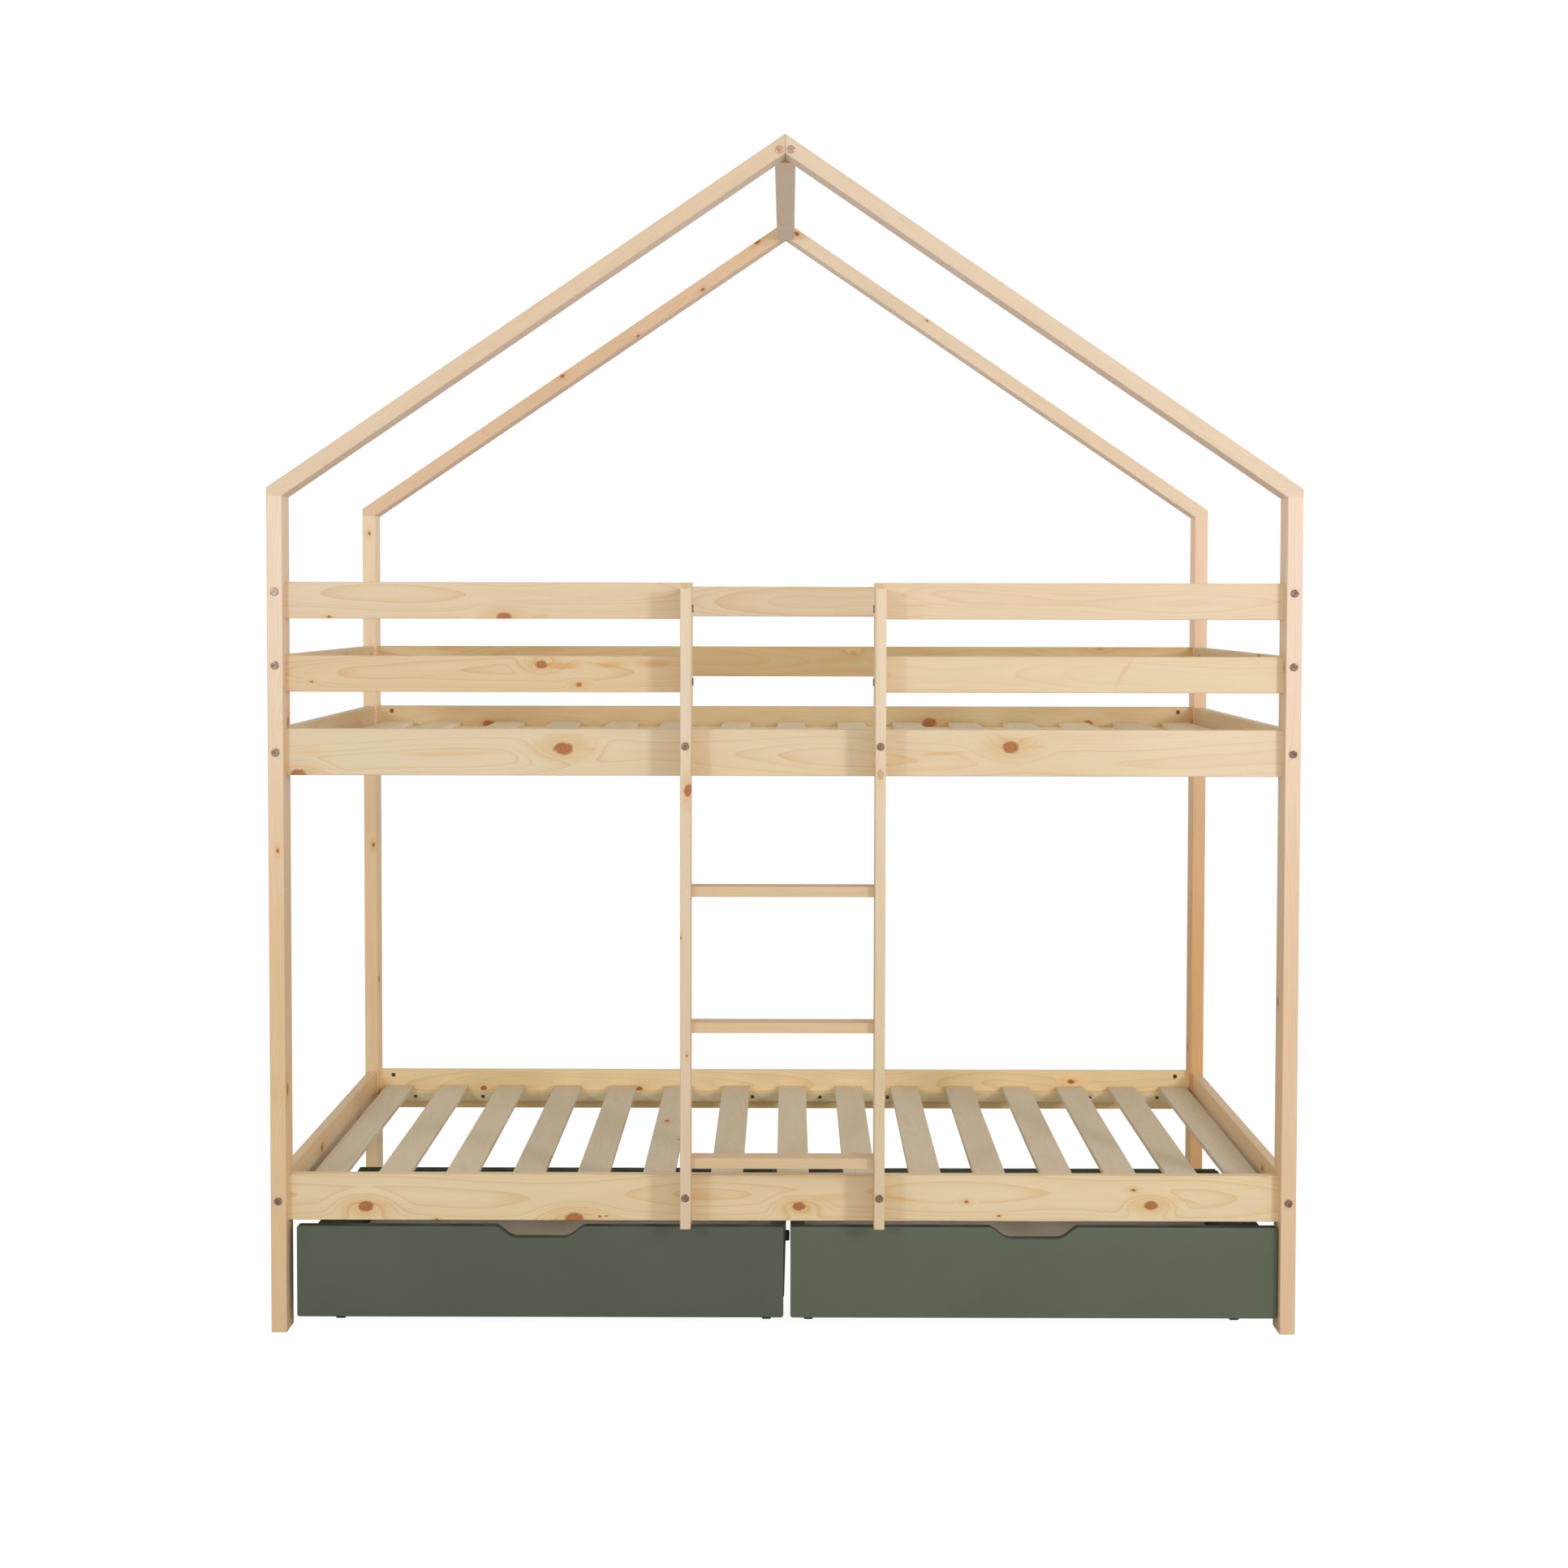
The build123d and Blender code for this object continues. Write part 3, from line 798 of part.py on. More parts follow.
with BuildPart() as left_front_wheels:
    with Locations(*[(x, CASTOR_Y[0], AXLE_Z) for x in
                     (L_BOX_X0 + SIDE_T + CLEAT_W / 2, L_BOX_X1 - SIDE_T - CLEAT_W / 2)]):
        Cylinder(WHEEL_R, WHEEL_W, rotation=(0, 90, 0))
    fillet(left_front_wheels.edges().filter_by(GeomType.CIRCLE).filter_by(lambda e: e.radius > 20), 2.5)
    with Locations(*[(x + s * (WHEEL_W / 2), CASTOR_Y[0], AXLE_Z) for s in (-1, 1) for x in
                     (L_BOX_X0 + SIDE_T + CLEAT_W / 2, L_BOX_X1 - SIDE_T - CLEAT_W / 2)]):
        Cylinder(17, 6, rotation=(0, 90, 0), mode=Mode.SUBTRACT)
    with Locations(*[(x, CASTOR_Y[0], AXLE_Z) for x in
                     (L_BOX_X0 + SIDE_T + CLEAT_W / 2, L_BOX_X1 - SIDE_T - CLEAT_W / 2)]):
        Cylinder(6, WHEEL_W, rotation=(0, 90, 0))
        Cylinder(AXLE_R + 0.06, WHEEL_W + 2, rotation=(0, 90, 0), mode=Mode.SUBTRACT)
left_front_wheels.part.label = "left_front_wheels"
export_step(left_front_wheels.part, "parts/left_front_wheels.step")

with BuildPart() as left_rear_wheels:
    mirror(left_front_wheels.part, about=Plane.XZ.offset(-(CASTOR_Y[0] + CASTOR_Y[1]) / 2))
left_rear_wheels.part.label = "left_rear_wheels"
export_step(left_rear_wheels.part, "parts/left_rear_wheels.step")

# rubber buffers on the drawer's inner side keep the two drawers apart
with BuildPart() as left_drawer_buffers:
    for y in (-431.0, -60.0):
        with BuildSketch(Plane.YZ.offset(L_BOX_X1)):
            with Locations((y, 179.0)):
                RectangleRounded(18, 18, 4)
        extrude(amount=10.3)
    fillet(left_drawer_buffers.faces().group_by(Axis.X)[-1].edges(), 2.5)
    # seated flush against the flared side
    with BuildSketch(Plane.XZ.offset(-DF_Y1)):
        with BuildLine():
            Polyline((L_BOX_X1 - 1, BOX_BOTTOM), (L_BOX_X1 + 0.02, BOX_BOTTOM), (L_BOX_X1 + FLARE + 0.02, BOX_TOP),
                     (L_BOX_X1 - 1, BOX_TOP), close=True)
        make_face()
    extrude(amount=-SIDE_L, mode=Mode.SUBTRACT)
left_drawer_buffers.part.label = "left_drawer_buffers"
export_step(left_drawer_buffers.part, "parts/left_drawer_buffers.step")

with BuildPart() as screw_43:
    with BuildSketch(Plane.YZ):
        Circle(SCREW_R)
    extrude(amount=41)
    with BuildSketch(Plane.YZ):
        Circle(SCREW_HEAD_R)
    extrude(amount=-SCREW_HEAD_T)
    fillet(screw_43.faces().sort_by(Axis.X)[0].edges(), 0.9)

with BuildPart() as left_drawer_screws:
    with Locations(*[Location((x, DF_Y1 + BLOCK_Y, z), (0, 0, -90)) for x in
                     (L_BOX_X0 + SIDE_T + BLOCK_X / 2, L_BOX_X1 - SIDE_T - BLOCK_X / 2) for z in FRONT_SCREW_Z]):
        add(screw_43.part)
    with Locations(*[Location((x, DB_Y1, z), (0, 0, -90)) for x in
                     (L_BOX_X0 + SIDE_T / 2, L_BOX_X1 - SIDE_T / 2) for z in BACK_SCREW_Z]):
        add(screw_43.part)
    with Locations(*[Location((x + dx, y + dy, BOX_BOTTOM - PLATE_T), (0, -90, 0)) for x in
                     (L_BOX_X0 + SIDE_T + CLEAT_W / 2, L_BOX_X1 - SIDE_T - CLEAT_W / 2)
                     for y in CASTOR_Y for dx in (-13, 13) for dy in (-24, 24)]):
        add(screw_14.part)
left_drawer_screws.part.label = "left_drawer_screws"
export_step(left_drawer_screws.part, "parts/left_drawer_screws.step")

# the right drawer's box is the same box; its front overhangs it on the other side
BOX_SHIFT = R_BOX_X0 - L_BOX_X0

with BuildPart() as right_drawer_front:
    with BuildSketch(Plane.XZ.offset(-DF_Y0)):
        with Locations(((R_FRONT_X0 + R_FRONT_X1) / 2, DRAWER_Z + DRAWER_H / 2)):
            RectangleRounded(DRAWER_W, DRAWER_H, 5)
    extrude(amount=-DRAWER_FRONT_T)
    with BuildSketch(Plane.XZ.offset(-DF_Y0 + 1)):
        with BuildLine():
            r_c = (R_FRONT_X0 + R_FRONT_X1) / 2
            r_top = DRAWER_Z + DRAWER_H
            r_a = Spline((r_c - CUT_HALF, r_top), (r_c - CUT_FLAT, r_top - CUT_DEEP),
                         tangents=((1, -0.35), (1, 0)))
            r_b = Line((r_c - CUT_FLAT, r_top - CUT_DEEP), (r_c + CUT_FLAT, r_top - CUT_DEEP))
            r_d = Spline((r_c + CUT_FLAT, r_top - CUT_DEEP), (r_c + CUT_HALF, r_top),
                         tangents=((1, 0), (1, 0.35)))
            Polyline((r_c + CUT_HALF, r_top), (r_c + CUT_HALF, r_top + 5), (r_c - CUT_HALF, r_top + 5),
                     (r_c - CUT_HALF, r_top))
        make_face()
    extrude(amount=-DRAWER_FRONT_T - 2, mode=Mode.SUBTRACT)
    fillet(right_drawer_front.faces().sort_by(Axis.Y)[0].edges(), 1.2)
    with Locations((R_BOX_X0 + BOX_W / 2, DF_Y1 - GROOVE / 2 + 0.1, PANEL_Z + PANEL_T / 2)):
        Box(BOX_W - 2 * SIDE_T + 2 * GROOVE + 0.6, GROOVE + 0.3, PANEL_T + 0.2, mode=Mode.SUBTRACT)
    with Locations(*[(x, DF_Y1 - 6.9, z) for x in (R_BOX_X0 + SIDE_T + BLOCK_X / 2, R_BOX_X1 - SIDE_T - BLOCK_X / 2)
                     for z in FRONT_SCREW_Z]):
        Cylinder(SCREW_HOLE_R, 14.2, rotation=(90, 0, 0), mode=Mode.SUBTRACT)
right_drawer_front.part.label = "right_drawer_front"
export_step(right_drawer_front.part, "parts/right_drawer_front.step")

with BuildPart() as right_drawer_sides:
    with Locations((BOX_SHIFT, 0, 0)):
        add(left_drawer_sides.part)
right_drawer_sides.part.label = "right_drawer_sides"
export_step(right_drawer_sides.part, "parts/right_drawer_sides.step")

with BuildPart() as right_drawer_back:
    with Locations((BOX_SHIFT, 0, 0)):
        add(left_drawer_back.part)
right_drawer_back.part.label = "right_drawer_back"
export_step(right_drawer_back.part, "parts/right_drawer_back.step")

with BuildPart() as right_drawer_bottom:
    with Locations((BOX_SHIFT, 0, 0)):
        add(left_drawer_bottom.part)
right_drawer_bottom.part.label = "right_drawer_bottom"
export_step(right_drawer_bottom.part, "parts/right_drawer_bottom.step")

with BuildPart() as right_drawer_cleats:
    with Locations((BOX_SHIFT, 0, 0)):
        add(left_drawer_cleats.part)
right_drawer_cleats.part.label = "right_drawer_cleats"
export_step(right_drawer_cleats.part, "parts/right_drawer_cleats.step")

with BuildPart() as right_drawer_castor_forks:
    with Locations((BOX_SHIFT, 0, 0)):
        add(left_drawer_castor_forks.part)
right_drawer_castor_forks.part.label = "right_drawer_castor_forks"
export_step(right_drawer_castor_forks.part, "parts/right_drawer_castor_forks.step")

with BuildPart() as right_drawer_axles:
    with Locations((BOX_SHIFT, 0, 0)):
        add(left_drawer_axles.part)
right_drawer_axles.part.label = "right_drawer_axles"
export_step(right_drawer_axles.part, "parts/right_drawer_axles.step")

with BuildPart() as right_front_wheels:
    with Locations((BOX_SHIFT, 0, 0)):
        add(left_front_wheels.part)
right_front_wheels.part.label = "right_front_wheels"
export_step(right_front_wheels.part, "parts/right_front_wheels.step")

with BuildPart() as right_rear_wheels:
    with Locations((BOX_SHIFT, 0, 0)):
        add(left_rear_wheels.part)
right_rear_wheels.part.label = "right_rear_wheels"
export_step(right_rear_wheels.part, "parts/right_rear_wheels.step")

with BuildPart() as right_drawer_screws:
    with Locations((BOX_SHIFT, 0, 0)):
        add(left_drawer_screws.part)
right_drawer_screws.part.label = "right_drawer_screws"
export_step(right_drawer_screws.part, "parts/right_drawer_screws.step")
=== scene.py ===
import math

import bpy
from mathutils import Matrix, Vector

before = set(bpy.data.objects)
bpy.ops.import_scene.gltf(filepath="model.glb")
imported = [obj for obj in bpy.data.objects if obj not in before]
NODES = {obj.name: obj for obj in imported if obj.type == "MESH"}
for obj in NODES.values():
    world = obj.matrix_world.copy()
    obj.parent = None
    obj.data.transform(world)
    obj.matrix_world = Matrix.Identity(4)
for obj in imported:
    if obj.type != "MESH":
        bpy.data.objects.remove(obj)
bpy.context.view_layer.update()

# ---------------------------------------------------------------------------
# camera: straight on, a little above the middle of the bed
# ---------------------------------------------------------------------------
scene = bpy.context.scene
PITCH, YAW, ROLL = 0.03482, -0.00153, 0.00184
forward = Vector((math.sin(YAW) * math.cos(PITCH), math.cos(YAW) * math.cos(PITCH), -math.sin(PITCH)))
right = Vector((math.cos(YAW), -math.sin(YAW), 0.0))
up = right.cross(forward)
cam_x = right * math.cos(ROLL) + up * math.sin(ROLL)
cam_y = up * math.cos(ROLL) - right * math.sin(ROLL)
cam_data = bpy.data.cameras.new("view_camera")
cam_data.sensor_width = 36.0
cam_data.sensor_fit = "HORIZONTAL"
cam_data.lens = 2640.57 / 1932.0 * 36.0
cam_data.shift_x = 0.0
cam_data.shift_y = -0.0669
cam_data.clip_start = 0.05
cam_data.clip_end = 200.0
camera = bpy.data.objects.new("view_camera", cam_data)
scene.collection.objects.link(camera)
turn = Matrix((cam_x, cam_y, -forward)).transposed().to_4x4()
camera.matrix_world = Matrix.Translation((0.0058, -4.5736, 1.4094)) @ turn
scene.camera = camera

scene.view_settings.view_transform = "Standard"
scene.view_settings.look = "None"
scene.view_settings.exposure = 0.0
scene.view_settings.gamma = 1.0


# ---------------------------------------------------------------------------
# studio: white surround, pale floor, two soft boxes in front
# ---------------------------------------------------------------------------
HORIZON = 0.86      # brightness of the surround near the ground line
ZENITH = 0.40       # and straight above
FLOOR_GLOW = 0.0
SOFT_BOXES = (
    # name, place, target, size, power, colour
    ("soft_box_right", (3.40, -3.94, 2.05), (0.35, -0.45, 1.15), (0.60, 0.60), 48.5, (0.95, 1.0, 1.22)),
    ("soft_box_right_high", (3.40, -3.94, 2.90), (0.35, -0.45, 1.15), (0.60, 0.60), 24.5, (0.95, 1.0, 1.22)),
    ("soft_box_left", (-2.50, -4.30, 2.05), (-0.15, -0.45, 1.15), (0.55, 0.55), 34.0, (0.85, 1.0, 1.28)),
)

world = bpy.data.worlds.new("studio")
scene.world = world
world.use_nodes = True
wt = world.node_tree
wt.nodes.clear()
w_out = wt.nodes.new("ShaderNodeOutputWorld")
w_mix = wt.nodes.new("ShaderNodeMixShader")
w_seen = wt.nodes.new("ShaderNodeBackground")
w_light = wt.nodes.new("ShaderNodeBackground")
w_path = wt.nodes.new("ShaderNodeLightPath")
w_coord = wt.nodes.new("ShaderNodeTexCoord")
w_split = wt.nodes.new("ShaderNodeSeparateXYZ")
w_range = wt.nodes.new("ShaderNodeMapRange")
w_seen.inputs["Color"].default_value = (1.0, 1.0, 1.0, 1.0)
w_seen.inputs["Strength"].default_value = 1.0
w_light.inputs["Color"].default_value = (1.0, 1.0, 0.96, 1.0)
w_range.inputs[1].default_value = 0.0
w_range.inputs[2].default_value = 1.0
w_range.inputs[3].default_value = HORIZON
w_range.inputs[4].default_value = ZENITH
wt.links.new(w_coord.outputs["Generated"], w_split.inputs[0])
wt.links.new(w_split.outputs[2], w_range.inputs[0])
wt.links.new(w_range.outputs[0], w_light.inputs["Strength"])
wt.links.new(w_path.outputs["Is Camera Ray"], w_mix.inputs["Fac"])
wt.links.new(w_light.outputs[0], w_mix.inputs[1])
wt.links.new(w_seen.outputs[0], w_mix.inputs[2])
wt.links.new(w_mix.outputs[0], w_out.inputs["Surface"])


def soft_box(name, place, target, size, power, colour):
    data = bpy.data.lights.new(name, "AREA")
    data.shape = "RECTANGLE"
    data.size, data.size_y = size
    data.energy = power
    data.color = colour
    box = bpy.data.objects.new(name, data)
    scene.collection.objects.link(box)
    place, target = Vector(place), Vector(target)
    box.matrix_world = Matrix.Translation(place) @ (target - place).to_track_quat("-Z", "Y").to_matrix().to_4x4()
    box.visible_camera = False
    return box


for soft in SOFT_BOXES:
    soft_box(*soft)


# ---------------------------------------------------------------------------
# node graph helper
# ---------------------------------------------------------------------------
class Graph:
    def __init__(self, name):
        self.mat = bpy.data.materials.new(name)
        self.mat.use_nodes = True
        self.tree = self.mat.node_tree
        self.tree.nodes.clear()
        self.out = self.node("ShaderNodeOutputMaterial")
        self.shader = self.node("ShaderNodeBsdfPrincipled")
        self.tree.links.new(self.shader.outputs["BSDF"], self.out.inputs["Surface"])
        coords = self.node("ShaderNodeTexCoord")
        self.place = coords.outputs["Object"]
        self.normal = coords.outputs["Normal"]

    def node(self, kind):
        return self.tree.nodes.new(kind)

    def put(self, socket, value):
        if isinstance(value, bpy.types.NodeSocket):
            self.tree.links.new(value, socket)
        elif hasattr(value, "__len__"):
            value = tuple(value)
            if len(value) == 3 and len(socket.default_value) == 4:
                value = value + (1.0,)
            socket.default_value = value
        else:
            socket.default_value = value

    def math(self, op, a, b=0.0, c=0.0, clamp=False):
        n = self.node("ShaderNodeMath")
        n.operation = op
        n.use_clamp = clamp
        self.put(n.inputs[0], a)
        self.put(n.inputs[1], b)
        self.put(n.inputs[2], c)
        return n.outputs[0]

    def add(self, a, b):
        return self.math("ADD", a, b)

    def sub(self, a, b):
        return self.math("SUBTRACT", a, b)

    def mul(self, a, b):
        return self.math("MULTIPLY", a, b)

    def mad(self, a, b, c):
        return self.math("MULTIPLY_ADD", a, b, c)

    def dot(self, vector, direction, minus=0.0):
        n = self.node("ShaderNodeVectorMath")
        n.operation = "DOT_PRODUCT"
        self.put(n.inputs[0], vector)
        self.put(n.inputs[1], direction)
        out = n.outputs["Value"]
        return self.sub(out, minus) if isinstance(minus, bpy.types.NodeSocket) or minus else out

    def combine(self, x=0.0, y=0.0, z=0.0):
        n = self.node("ShaderNodeCombineXYZ")
        self.put(n.inputs[0], x)
        self.put(n.inputs[1], y)
        self.put(n.inputs[2], z)
        return n.outputs[0]

    def split(self, vector):
        n = self.node("ShaderNodeSeparateXYZ")
        self.put(n.inputs[0], vector)
        return n.outputs

    def scaled(self, vector, by, plus=(0.0, 0.0, 0.0)):
        n = self.node("ShaderNodeVectorMath")
        n.operation = "MULTIPLY_ADD"
        self.put(n.inputs[0], vector)
        self.put(n.inputs[1], by)
        self.put(n.inputs[2], plus)
        return n.outputs[0]

    def length(self, x, y, z=0.0):
        n = self.node("ShaderNodeVectorMath")
        n.operation = "LENGTH"
        self.put(n.inputs[0], self.combine(x, y, z))
        return n.outputs["Value"]

    def step(self, value, low, high, to_low=0.0, to_high=1.0, smooth=True):
        n = self.node("ShaderNodeMapRange")
        n.interpolation_type = "SMOOTHSTEP" if smooth else "LINEAR"
        n.clamp = True
        self.put(n.inputs[0], value)
        self.put(n.inputs[1], low)
        self.put(n.inputs[2], high)
        self.put(n.inputs[3], to_low)
        self.put(n.inputs[4], to_high)
        return n.outputs[0]

    def noise(self, vector, scale=1.0, detail=2.0, rough=0.5, colour=False):
        n = self.node("ShaderNodeTexNoise")
        n.noise_dimensions = "3D"
        self.put(n.inputs["Vector"], vector)
        self.put(n.inputs["Scale"], scale)
        self.put(n.inputs["Detail"], detail)
        self.put(n.inputs["Roughness"], rough)
        return n.outputs["Color" if colour else "Fac"]

    def noise_line(self, value, scale=1.0, detail=1.0, colour=True):
        n = self.node("ShaderNodeTexNoise")
        n.noise_dimensions = "1D"
        self.put(n.inputs["W"], value)
        self.put(n.inputs["Scale"], scale)
        self.put(n.inputs["Detail"], detail)
        return n.outputs["Color" if colour else "Fac"]

    def white(self, value, colour=False):
        n = self.node("ShaderNodeTexWhiteNoise")
        n.noise_dimensions = "1D"
        self.put(n.inputs["W"], value)
        return n.outputs["Color" if colour else "Value"]

    def mix(self, fac, a, b, kind="MIX"):
        n = self.node("ShaderNodeMix")
        n.data_type = "RGBA"
        n.blend_type = kind
        n.clamp_result = False
        self.put(n.inputs[0], fac)
        self.put(n.inputs[6], a)
        self.put(n.inputs[7], b)
        return n.outputs[2]

    def mix_value(self, fac, a, b):
        n = self.node("ShaderNodeMix")
        n.data_type = "FLOAT"
        self.put(n.inputs[0], fac)
        self.put(n.inputs[2], a)
        self.put(n.inputs[3], b)
        return n.outputs[0]

    def times(self, colour, value):
        return self.mix(1.0, colour, self.combine(value, value, value), "MULTIPLY")

    def bump(self, height, strength, distance):
        n = self.node("ShaderNodeBump")
        self.put(n.inputs["Strength"], strength)
        self.put(n.inputs["Distance"], distance)
        self.put(n.inputs["Height"], height)
        return n.outputs["Normal"]

    def finish(self, colour, roughness=0.5, normal=None, metal=0.0):
        self.put(self.shader.inputs["Base Color"], colour)
        self.put(self.shader.inputs["Roughness"], roughness)
        self.put(self.shader.inputs["Metallic"], metal)
        if normal is not None:
            self.put(self.shader.inputs["Normal"], normal)
        return self.mat


MM = 0.001


# ---------------------------------------------------------------------------
# lacquered pine: year rings round a pith line outside the board, knots that
# push the rings aside, fibres and resin ducts along the board
# ---------------------------------------------------------------------------
def wood(name, along, across, through, centre=(0.0, 0.0), seed=0.0, tone=(1.0, 1.0, 1.0),
         tone2=None, pith=(0.012, -0.040), wander=(0.030, 0.030), spacing=0.0030, contrast=0.75,
         knots=(), streaks=(), pieces=None, rough=0.44, raw=False, early=(0.785, 0.600, 0.372),
         late=(0.665, 0.405, 0.170), vary=0.03, painted_light_ramp=None, mitre_seam_and_underside_shade=False, painted_flank_shade=1.0):
    """along, across, through: unit directions of the board. centre: place of the middle across and through.
    pieces: a function of the graph, centre and seed that gives the middle across, the middle through and the piece
    number, for nodes with several boards."""
    g = Graph(name)
    l = g.dot(g.place, along)
    a = g.dot(g.place, across)
    t = g.dot(g.place, through)
    index = seed
    mid_a, mid_t = centre
    if pieces is not None:
        mid_a, mid_t, index = pieces(g, centre, seed)
    piece_random = None
    if isinstance(index, bpy.types.NodeSocket):
        piece_random = g.white(index, colour=True)
        rnd = g.split(piece_random)
        shift_l = g.mad(rnd[0], 17.0, seed)
        l_seeded = g.add(l, shift_l)
    else:
        rnd = None
        l_seeded = g.add(l, seed)
    w = g.sub(a, mid_a)
    a_flow = a
    t_abs = t
    t = g.sub(t, mid_t)

    # knots: place along and across in millimetres, radius, and the face they come out of
    t_flow = t_abs
    core = rim = halo = inner = bulge = None
    for k in knots:
        kl, kw, kr = k[0] * MM, k[1] * MM, k[2] * MM * 1.08
        edge_face = len(k) > 3 and k[3] == "edge"
        weight = k[4] if len(k) > 4 else 1.0
        dl = g.sub(l, kl)
        dw = g.sub(t_abs if edge_face else a, kw)
        near = g.length(g.mul(dl, 0.42), dw)
        give = g.step(near, kr * 0.4, kr * 4.2, 0.50, 1.0)
        swell = g.step(near, kr * 0.7, kr * 4.4, 3.1 * spacing * weight, 0.0)
        bulge = swell if bulge is None else g.add(bulge, swell)
        if edge_face:
            t_flow = g.mad(g.sub(t_flow, kw), give, kw)
        else:
            a_flow = g.mad(g.sub(a_flow, kw), give, kw)
        shape = g.length(g.mul(dl, 0.66), dw)
        wob = g.noise(g.combine(g.mul(l, 130.0), g.mul(dw, 130.0), kl * 31.0), 1.0, 1.0)
        shape = g.mad(g.sub(wob, 0.5), kr * 0.55, shape)
        this_core = g.step(shape, kr * 0.80, kr * 1.06, weight, 0.0)
        this_rim = g.step(g.math("ABSOLUTE", g.sub(shape, kr * 0.98)), 0.0, kr * 0.26, weight, 0.0)
        this_halo = g.step(near, kr * 0.8, kr * 3.4, weight, 0.0)
        if k[2] < 5.0:
            # a small knot shows only on the face it comes out of
            face_on = g.step(g.math("ABSOLUTE", g.dot(g.normal, across if edge_face else through)), 0.5, 0.8)
            this_core, this_rim, this_halo = g.mul(this_core, face_on), g.mul(this_rim, face_on), g.mul(this_halo, face_on)
        this_inner = g.math("SINE", g.mul(shape, 2.0 * math.pi / (kr * 0.38)))
        core = this_core if core is None else g.math("MAXIMUM", core, this_core)
        rim = this_rim if rim is None else g.math("MAXIMUM", rim, this_rim)
        halo = this_halo if halo is None else g.math("MAXIMUM", halo, this_halo)
        inner = g.mul(this_inner, this_core) if inner is None else g.mad(this_inner, this_core, inner)

    w_flow = g.sub(a_flow, mid_a)
    t_flow = g.sub(t_flow, mid_t)
    # pith line wanders along the board, so the rings run out in arches
    drift = g.split(g.noise_line(l_seeded, 1.35, 1.0))
    w_r = g.sub(g.mad(g.sub(drift[0], 0.5), -2.0 * wander[0], w_flow), pith[0] if rnd is None else g.mad(rnd[1], pith[0] * 2.0, -pith[0] * 0.5))
    t_r = g.sub(g.mad(g.sub(drift[1], 0.5), -2.0 * wander[1], t_flow), pith[1] if rnd is None else g.mad(rnd[2], pith[1] * 0.7, pith[1] * 0.75))
    radius = g.length(w_r, t_r)
    grain_place = g.combine(l_seeded, w, t)
    waver = g.noise(g.scaled(grain_place, (5.0, 34.0, 34.0)), 1.0, 2.0)
    radius = g.mad(g.sub(waver, 0.5), 0.0030, radius)
    if bulge is not None:
        radius = g.add(radius, bulge)
    years = g.noise_line(g.add(radius, seed * 0.37), 95.0, 0.0, colour=False)
    phase = g.mad(radius, 1.0 / spacing, g.mul(years, 1.6))
    ring = g.math("FRACT", phase)
    ring_no = g.math("FLOOR", phase)
    strength = g.step(g.white(g.add(ring_no, seed)), 0.0, 1.0, 0.25, 1.0, smooth=False)
    rise = g.math("POWER", ring, 4.0)
    fall = g.step(ring, 0.955, 1.0, 1.0, 0.0)
    late_part = g.mul(g.mul(rise, fall), strength)

    fibre = g.noise(g.scaled(grain_place, (16.0, 620.0, 620.0)), 1.0, 3.0, 0.62)
    duct = g.noise(g.scaled(grain_place, (105.0, 1150.0, 1150.0)), 1.0, 1.0)
    ducts = g.step(duct, 0.66, 0.78)
    broad = g.noise(g.scaled(grain_place, (1.3, 13.0, 13.0)), 1.0, 2.0)
    cloud = g.noise(g.scaled(grain_place, (7.0, 60.0, 60.0)), 1.0, 2.0)

    early_1 = tuple(e * k for e, k in zip(early, tone))
    late_1 = tuple(e * k for e, k in zip(late, tone))
    if tone2 is not None:
        which = g.math("GREATER_THAN", index, seed + 0.5)
        early_1 = g.mix(which, early_1, tuple(e * k for e, k in zip(early, tone2)))
        late_1 = g.mix(which, late_1, tuple(e * k for e, k in zip(late, tone2)))
    colour = g.mix(g.mul(late_part, min(1.0, contrast * 1.35)), early_1, late_1)
    # heart side a little redder than the sap side
    warm = g.step(broad, 0.35, 0.68)
    colour = g.mix(g.mul(warm, 0.55), colour, g.mix(1.0, colour, (1.0, 0.945, 0.865), "MULTIPLY"))
    light = g.mad(g.sub(fibre, 0.5), 0.12, 1.0)
    light = g.mul(light, g.mad(g.sub(cloud, 0.5), 0.085, 1.0))
    light = g.mul(light, g.mad(ducts, -0.09, 1.0))
    if rnd is not None:
        light = g.mul(light, g.mad(g.sub(rnd[0], 0.5), 2.0 * vary, 1.0))
    colour = g.times(colour, light)

    if painted_light_ramp is not None:
        # painted light: from one place along the board to another the colour goes from a warmer, darker tone to a
        # paler, bluer one, standing in for the light falling off away from the lamps
        l0, l1, shaded_tone, lit_tone = painted_light_ramp
        shift = g.mix(g.step(l, l0 * MM, l1 * MM), shaded_tone, lit_tone)
        colour = g.mix(1.0, colour, shift, "MULTIPLY")
    if mitre_seam_and_underside_shade:
        # mitre joint between the two rafters
        joint = g.step(g.math("ABSOLUTE", g.dot(g.place, X)), 0.0003, 0.0014, 0.50, 0.0)
        colour = g.mix(joint, colour, (0.22, 0.13, 0.07))
        # painted shade: faces turned downward are given a bluer, greyer tint
        under = g.step(g.dot(g.normal, Z), -0.7, -0.3, 1.0, 0.0)
        colour = g.mix(under, colour, g.mix(1.0, colour, (0.98, 0.99, 1.16), "MULTIPLY"))
    if painted_flank_shade != 1.0:
        # painted shade: the narrow flank of a post is darkened from 0.35 m up along it, fully above 0.90 m
        painted_flank_mask = g.step(g.math("ABSOLUTE", g.dot(g.normal, through)), 0.5, 0.9)
        painted_flank_mask = g.mul(painted_flank_mask, g.step(l, 0.35, 0.90))
        colour = g.mix(painted_flank_mask, colour, g.mix(1.0, colour, (painted_flank_shade, painted_flank_shade * 0.99, painted_flank_shade * 0.98), "MULTIPLY"))

